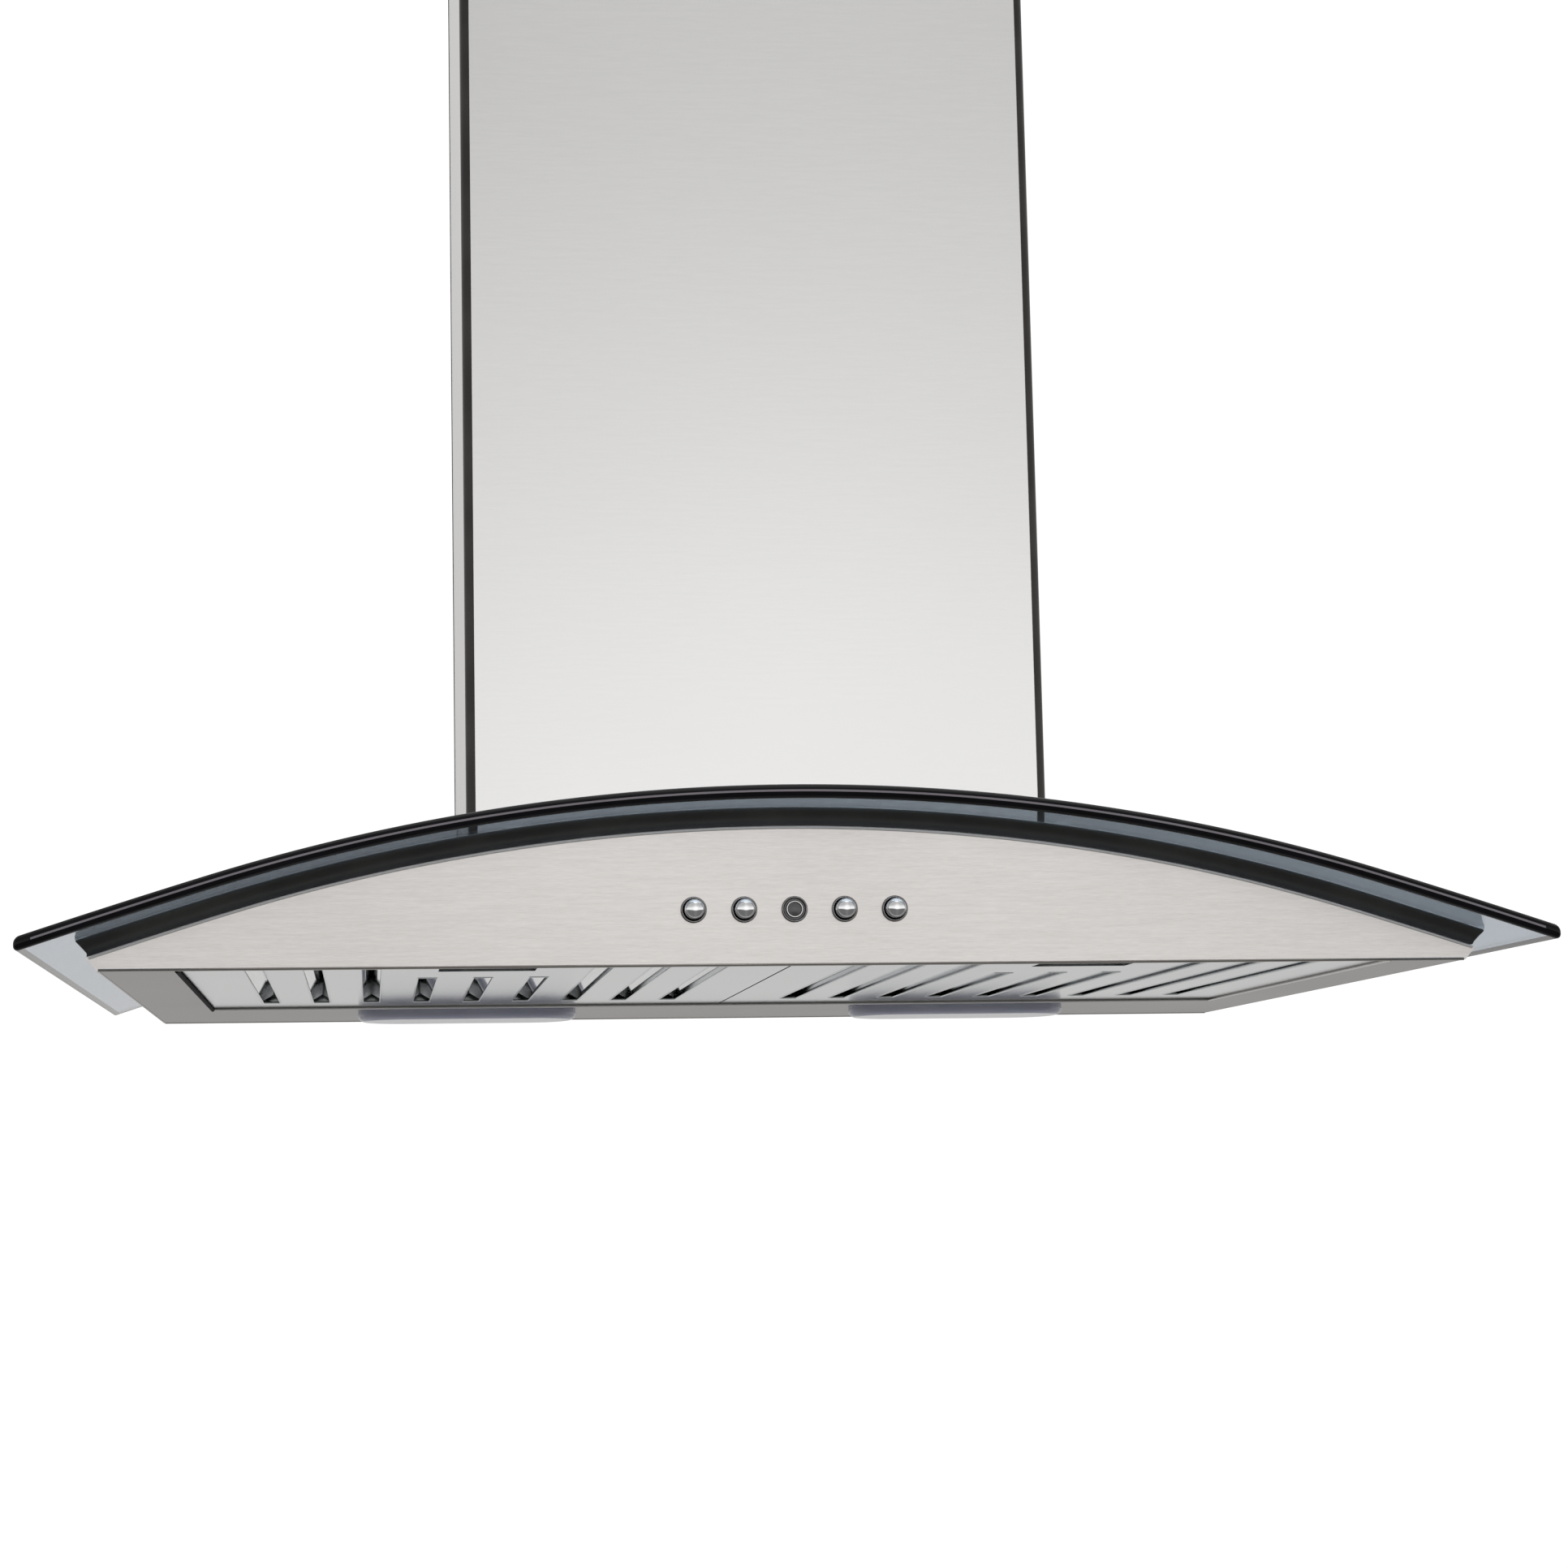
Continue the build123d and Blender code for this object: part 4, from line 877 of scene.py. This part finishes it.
def turned(name, outline, place, segments=48, axis="Y"):
    """A closed solid of revolution; the outline is (radius, depth) and may start and end on the axis."""
    bm = bmesh.new()
    rings = []
    for radius, depth in outline:
        ring = []
        for k in range(segments if radius > 0 else 1):
            angle = 2 * math.pi * k / segments
            across, along = radius * math.cos(angle), radius * math.sin(angle)
            point = (across, depth, along) if axis == "Y" else (across, along, depth)
            ring.append(bm.verts.new(Vector(point) + Vector(place)))
        rings.append(ring)
    closed = outline[0][0] > 0
    pairs = list(zip(rings, rings[1:])) + ([(rings[-1], rings[0])] if closed else [])
    for near, far in pairs:
        for k in range(segments):
            a, b = near[k % len(near)], near[(k + 1) % len(near)]
            c, d = far[(k + 1) % len(far)], far[k % len(far)]
            bm.faces.new([v for n, v in enumerate((a, b, c, d)) if v not in (a, b, c, d)[:n]])
    bmesh.ops.recalc_face_normals(bm, faces=bm.faces)
    return as_mesh(bm, name)


def painted(mesh, finish_name):
    """Gives a mesh its finish and smooth shading."""
    mesh.materials.append(FINISH[finish_name])
    smooth_by_angle(mesh)
    return mesh


def dome(radius, foot, top):
    """Points of a rounded cap from its foot to the axis."""
    points = []
    for step in range(DOME_STEPS + 1):
        angle = math.pi / 2 * step / DOME_STEPS
        across = math.cos(angle) ** (2 / DOME_POWER) if step < DOME_STEPS else 0.0
        points.append((radius * across, foot + (top - foot) * math.sin(angle) ** (2 / DOME_POWER)))
    return points


# %% [markdown]
# ## Push buttons
# Each cap is a chrome-plated dome with a short straight side, on a stem that runs back to its switch.
# A shallow groove just in front of the ring catches a dark line, as plated caps have.

# %% Button caps
CAP_BACK = 0.008
STEM_RADIUS = 0.003
GROOVE = 0.0005
DOME_FOOT = 0.62  # as a share of how far the cap stands out

button_low, button_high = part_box("light_button")
CAP_RADIUS = (button_high.x - button_low.x) / 2
CAP_FRONT = button_low.y - FRONT_FACE
STEM_BACK = button_high.y - FRONT_FACE
CONTROL_Z = (button_low.z + button_high.z) / 2
cap_outline = [
    (0.0, STEM_BACK),
    (STEM_RADIUS, STEM_BACK),
    (STEM_RADIUS, CAP_BACK),
    (CAP_RADIUS - 0.0004, CAP_BACK),
    (CAP_RADIUS - 0.0002, -0.0018),
    (CAP_RADIUS - GROOVE, -0.0021),
    (CAP_RADIUS - GROOVE, -0.0024),
    *dome(CAP_RADIUS, CAP_FRONT * DOME_FOOT, CAP_FRONT),
]
for body in ("light_button", "low_speed_button", "medium_speed_button", "high_speed_button"):
    low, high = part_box(body)
    centre = ((low.x + high.x) / 2, FRONT_FACE, (low.z + high.z) / 2)
    cap = painted(turned("cap", cap_outline, centre), "chrome")
    place_piece(body + "_cap", cap, body, "chrome_caps", body)

# %% [markdown]
# ## Control rings
# Five equal rings sit in the panel, 30 mm apart. This is what copies are for: one ring is turned, and
# a tree puts it on each point of a row. The same tree later makes the ribs and flutes.

# %% Row tree
ROW_INPUTS = [
    ("Count", "NodeSocketInt", 5),
    ("First", "NodeSocketVector", (0.0, 0.0, 0.0)),
    ("Pitch", "NodeSocketVector", (0.03, 0.0, 0.0)),
]


def copies_in_row(tree, entry, shape):
    """Copies of a shape on a line of points."""
    row = new_node(tree, "GeometryNodeMeshLine", mode="OFFSET")
    copies = new_node(tree, "GeometryNodeInstanceOnPoints")
    wire(
        tree,
        (entry.outputs["Count"], row.inputs["Count"]),
        (entry.outputs["First"], row.inputs["Start Location"]),
        (entry.outputs["Pitch"], row.inputs["Offset"]),
        (row.outputs[0], copies.inputs["Points"]),
        (shape, copies.inputs["Instance"]),
    )
    return copies.outputs[0]


def row_tree():
    """Repeats its start mesh along a row."""
    tree, entry, leave = geometry_group("row_of_copies", ROW_INPUTS)
    return close_tree(tree, leave, copies_in_row(tree, entry, entry.outputs["Geometry"]), entry)


ROW = row_tree()

# %% Rings
RING_PITCH = 0.030
RING_OUTER = 0.0078
RING_BORE = 0.0063
SLEEVE_RADIUS, SLEEVE_BACK = 0.0069, 0.004

ring_outline = [
    (RING_BORE, SLEEVE_BACK),
    (RING_BORE, -0.0012),
    (RING_BORE + 0.0003, -0.0018),
    (RING_BORE + 0.0007, -0.0021),
    (RING_OUTER - 0.0005, -0.0021),
    (RING_OUTER - 0.0001, -0.0016),
    (RING_OUTER, -0.0009),
    (RING_OUTER, 0.0),
    (SLEEVE_RADIUS, 0.0),
    (SLEEVE_RADIUS, SLEEVE_BACK),
]
ring = turned("ring", ring_outline, (0, 0, 0))
first = (-2 * RING_PITCH, FRONT_FACE, CONTROL_Z)
rings = grown("control_rings", ring, ROW, "ring_chrome_painted_shade", Count=5, First=first, Pitch=(RING_PITCH, 0, 0))
place_piece("control_rings", rings, "hood", "chrome_caps", "control_bezels")

# %% [markdown]
# ## Pilot lamp
# The middle ring holds a flat smoked lens instead of a button. A thin bright metal ring is set into
# its face. Both are one turned piece, and the faces of the raised ring get a second material.

# %% Pilot lamp
PILOT = 0.0062
PILOT_BACK = 0.008
RIM_IN, RIM_OUT = 0.0042, 0.0050
RIM_FRONT, RIM_ROUND = -0.0019, 0.0002

pilot_outline = [
    (0.0, PILOT_BACK),
    (PILOT, PILOT_BACK),
    (PILOT, -0.0006),
    (RIM_OUT + 0.0003, -0.0006),
    (RIM_OUT, -0.0016),
    (RIM_OUT - RIM_ROUND, RIM_FRONT),
    (RIM_IN + RIM_ROUND, RIM_FRONT),
    (RIM_IN, -0.0016),
    (RIM_IN - RIM_ROUND, -0.0009),
    (0.0022, -0.0011),
    (0.0, -0.0013),
]
pilot = painted(turned("pilot", pilot_outline, (0, FRONT_FACE, CONTROL_Z)), "pilot_smoke")
pilot.materials.append(FINISH["latch_steel"])
for face in pilot.polygons:
    out = math.hypot(face.center.x, face.center.z - CONTROL_Z)
    face.material_index = int(RIM_IN < out < RIM_OUT and face.center.y - FRONT_FACE < -0.0015)
place_piece("pilot_lamp", pilot, "hood", "pilot_smoke", "pilot_lens")

# %% [markdown]
# ## Filter slots
# Air enters through slots punched in the lower sheet of each filter. The press leaves a rounded rim
# round every slot, which stiffens the sheet and shows as a bright outline. The tree draws a rounded
# rectangle, sweeps a small round section along it and repeats it at the slot pitch. The three slots
# behind the finger catch are shorter, so each filter takes three rows.

# %% Slot rim tree
SLOT_PITCH = 0.0344
SLOT_WIDTH = 0.012
SLOT_CORNER, CORNER_STEPS = 0.0012, 4


def slot_rim_tree():
    """A row of rounded rectangles, each drawn by a round bar."""
    sizes = numbers(Width=SLOT_WIDTH, Length=0.3, Rim=0.0006)
    tree, entry, leave = geometry_group("slot_rims", ROW_INPUTS + sizes)
    outline = new_node(tree, "GeometryNodeCurvePrimitiveQuadrilateral")
    corner = new_node(tree, "GeometryNodeFilletCurve", mode="POLY")
    corner.inputs["Count"].default_value = CORNER_STEPS
    corner.inputs["Radius"].default_value = SLOT_CORNER
    wire(
        tree,
        (entry.outputs["Width"], outline.inputs["Width"]),
        (entry.outputs["Length"], outline.inputs["Height"]),
        (outline.outputs[0], corner.inputs["Curve"]),
    )
    rim = swept(tree, corner.outputs[0], entry.outputs["Rim"], sides=8, capped=False)
    return close_tree(tree, leave, copies_in_row(tree, entry, rim), entry)


SLOT_RIMS = slot_rim_tree()

# %% Slot rims
SLOT_REAR = 0.057
SLOT_FRONTS = (-0.262, -0.182, -0.262)
RIM_RADIUS = 0.0007
RIM_Z = face_low.z + 0.0003


def rims_of(low, high):
    """The three rows of rims on one filter, as one mesh."""
    middle = (low.x + high.x) / 2
    bm = bmesh.new()
    for group, front in enumerate(SLOT_FRONTS):
        first = (middle + (3 * group - 4) * SLOT_PITCH, (front + SLOT_REAR) / 2, RIM_Z)
        row = grown(
            "rims", bpy.data.meshes.new("seed"), SLOT_RIMS, "filter_steel", Count=3, First=first,
            Pitch=(SLOT_PITCH, 0, 0), Width=SLOT_WIDTH, Length=SLOT_REAR - front, Rim=RIM_RADIUS
        )
        bm.from_mesh(row)
    return painted(as_mesh(bm, "rims"), "filter_steel")


for side in SIDES:
    rims = rims_of(*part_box("filter_face_" + side))
    smooth_by_angle(rims, 60)
    place_piece("slot_rims_" + side, rims, "filter_" + side, "filter_steel")

# %% [markdown]
# ## Finger ribs on the catches
# Each filter is released by pushing a small plate towards the back of the hood. Ribs across it give
# the fingertip a grip. One rib is a short bar with rounded edges, repeated by the row tree.

# %% Catch ribs
RIB_PITCH, RIB_INSET = 0.003, 0.006
RIB_LOW, RIB_HIGH, RIB_ROUND = (-0.0005, 0.0, -0.0005), (0.0005, 0.0076, 0.0003), 0.0003


def rounded_bar(low, high, offset):
    """A bar between two corners with all its edges rounded."""
    bm = bmesh.new()
    low, high = Vector(low), Vector(high)
    shape = Matrix.Translation((low + high) / 2) @ Matrix.Diagonal(high - low).to_4x4()
    bmesh.ops.create_cube(bm, size=1.0, matrix=shape)
    rounded(bm, bm.edges[:], offset, 2)
    return as_mesh(bm, "bar")


for side in SIDES:
    low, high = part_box("filter_latch_" + side)
    first = (low.x + RIB_INSET, high.y - 0.0088, low.z)
    ribs = grown(
        "catch_ribs_" + side, rounded_bar(RIB_LOW, RIB_HIGH, RIB_ROUND), ROW, "latch_steel",
        Count=11, First=first, Pitch=(RIB_PITCH, 0, 0)
    )
    place_piece("catch_ribs_" + side, ribs, "latch_" + side, "filter_steel")

# %% [markdown]
# ## Lamp covers
# The covers are moulded with fine flutes on the inside that spread the light. They run along the
# cover, inside its rim, and are repeated across it.

# %% Lamp flutes
FLUTE_COUNT = 13
FLUTE_PITCH = 0.0042
FLUTE_LOW, FLUTE_HIGH, FLUTE_ROUND = (-0.048, -0.0011, -0.0003), (0.048, 0.0011, 0.0010), 0.0006
FLUTE_LIFT = 0.0027

for side in SIDES:
    low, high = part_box("lamp_lens_" + side)
    middle = (low + high) / 2
    first = (middle.x, middle.y - 6 * FLUTE_PITCH, low.z + FLUTE_LIFT)
    flutes = grown(
        "lamp_flutes_" + side, rounded_bar(FLUTE_LOW, FLUTE_HIGH, FLUTE_ROUND), ROW, "lens_plastic",
        Count=FLUTE_COUNT, First=first, Pitch=(0, FLUTE_PITCH, 0)
    )
    place_piece("lamp_flutes_" + side, flutes, "hood", "lens_plastic")

# %% [markdown]
# ## Screws
# The frame is put together with small pan-head screws. Their places are read from the engineered
# screws: every separate solid in that part is one screw, its long side is its axis, and its wider end
# is its head. A tree then puts a detailed screw, with a cross recess, on each of those points.

# %% Screw places
NEAR_END = 1e-4


def separate_solids(mesh):
    """The groups of joined points in a mesh."""
    bm = bmesh.new()
    bm.from_mesh(mesh)
    bmesh.ops.remove_doubles(bm, verts=bm.verts, dist=1e-6)
    seen, groups = set(), []
    for seed in bm.verts:
        if seed in seen:
            continue
        stack, group = [seed], []
        seen.add(seed)
        while stack:
            vert = stack.pop()
            group.append(vert.co.copy())
            for edge in vert.link_edges:
                other = edge.other_vert(vert)
                if other not in seen:
                    seen.add(other)
                    stack.append(other)
        groups.append(group)
    bm.free()
    return groups


def screw_place(points):
    """Where a screw's head ends, which way it looks, and the screw's length."""
    low = Vector([min(p[k] for p in points) for k in range(3)])
    high = Vector([max(p[k] for p in points) for k in range(3)])
    size = high - low
    axis = max(range(3), key=lambda k: size[k])
    other = 0 if axis else 1
    centre = (low + high) / 2
    reach = {}
    for end, value in ((-1, low[axis]), (1, high[axis])):
        near = [p for p in points if abs(p[axis] - value) < NEAR_END]
        reach[end] = max(abs(p[other] - centre[other]) for p in near)
    end = max(reach, key=reach.get)
    heading = Vector((0, 0, 0))
    heading[axis] = end
    centre[axis] = high[axis] if end > 0 else low[axis]
    return centre, heading, size[axis]


# %% Screw tree
def screw_tree():
    """Puts a screw on each point, turned to the point's heading."""
    tree, entry, leave = geometry_group("screws_on_points", [("Screw", "NodeSocketObject", None)])
    shape = new_node(tree, "GeometryNodeObjectInfo")
    heading = new_node(tree, "GeometryNodeInputNamedAttribute", data_type="FLOAT_VECTOR")
    heading.inputs["Name"].default_value = "heading"
    turn = new_node(tree, "FunctionNodeAlignRotationToVector", axis="Z")
    copies = new_node(tree, "GeometryNodeInstanceOnPoints")
    wire(
        tree,
        (entry.outputs["Screw"], shape.inputs["Object"]),
        (heading.outputs["Attribute"], turn.inputs["Vector"]),
        (entry.outputs["Geometry"], copies.inputs["Points"]),
        (shape.outputs["Geometry"], copies.inputs["Instance"]),
        (turn.outputs[0], copies.inputs["Rotation"]),
    )
    return close_tree(tree, leave, copies.outputs[0], entry)


SCREWS = screw_tree()

# %% Screw shape
HEAD_RADIUS, HEAD, SHANK = 0.0036, 0.0022, 0.0019
THREAD_PITCH, THREAD_ROOT = 0.0012, 0.82
HEAD_FLAT = 0.0003
RECESS = 0.0010
SLICE = 22.5  # degrees of the head that one face of its top fills


def pan_screw(length):
    """A screw that looks up +Z with the top of its head at the origin."""
    outline = [(0.0, -length), (SHANK * 0.6, -length)]
    for k in range(max(3, int((length - HEAD - 0.002) / THREAD_PITCH))):
        base = -length + THREAD_PITCH / 2 + k * THREAD_PITCH
        outline += [(SHANK * THREAD_ROOT, base), (SHANK, base + THREAD_PITCH / 2)]
    outline += [(SHANK, -HEAD), (HEAD_RADIUS, -HEAD), (HEAD_RADIUS, -HEAD * 0.45)]
    outline += [(HEAD_RADIUS * 0.86, -HEAD * 0.14), (HEAD_RADIUS * 0.6, 0.0), (0.0, 0.0)]
    body = bmesh.new()
    body.from_mesh(turned("screw", outline, (0, 0, 0), segments=16, axis="Z"))

    def top_faces():
        return [f for f in body.faces if f.normal.z > 0.99 and f.calc_center_median().z > -HAIR]

    def slice_number(face):
        return round(math.degrees(math.atan2(*face.calc_center_median().yx)) / SLICE - 0.5)

    flat = bmesh.ops.dissolve_faces(body, faces=top_faces())["region"]
    bmesh.ops.inset_region(body, faces=flat, thickness=HEAD_FLAT)
    bmesh.ops.poke(body, faces=[max(flat, key=lambda f: f.calc_area())])
    arms = [f for f in top_faces() if len(f.verts) == 3 and slice_number(f) % 4 == 0]
    sunk = bmesh.ops.extrude_face_region(body, geom=arms)["geom"]
    for vert in {v for v in sunk if isinstance(v, bmesh.types.BMVert)}:
        vert.co.z -= RECESS
    bmesh.ops.delete(body, geom=arms, context="FACES")
    return as_mesh(body, "screw")


# %% Screws
def screws_for(node):
    """Replaces one part of screws with detailed ones; gives their number."""
    places = [screw_place(points) for points in separate_solids(frame["nodes"][node].data)]
    screw = add_object("screw_shape", pan_screw(places[0][2]))
    points = bpy.data.meshes.new("points")
    points.from_pydata([place[0] for place in places], [], [])
    headings = points.attributes.new("heading", "FLOAT_VECTOR", "POINT")
    for k, place in enumerate(places):
        headings.data[k].vector = place[1]
    mesh = grown(node + "_detailed", points, SCREWS, "screw_steel", Screw=screw)
    bpy.data.objects.remove(screw)
    place_piece(node + "_detailed", mesh, "hood", "screw_steel", node)
    return len(places)


for node in ("frame_screws", "flange_screws"):
    print(node, screws_for(node), "screws")

# %% [markdown]
# ## The floor
# The hood hangs, so the floor is a plain pale plane well below it. It isn't part of the object. It
# lies low enough for the underside to be looked at from straight below. Reflections don't see it:
# the chrome keeps the dark floor of the studio, which gives it its contrast.

# %% Floor
FLOOR_Z = UNDERSIDE - 2.4
FLOOR_HALF = 8.0

floor_mesh = bpy.data.meshes.new("floor")
corners = [(x * FLOOR_HALF, y * FLOOR_HALF, FLOOR_Z) for x, y in ((-1, -1), (1, -1), (1, 1), (-1, 1))]
floor_mesh.from_pydata(corners, [], [(0, 1, 2, 3)])
floor = add_object("floor", floor_mesh)
floor.visible_glossy = False
skin("floor_paint", (0.86, 0.86, 0.86), (0.84, 0.84, 0.84), 0.8, 0.9)
dress(floor, "floor_paint")
print("floor at", round(FLOOR_Z, 3))
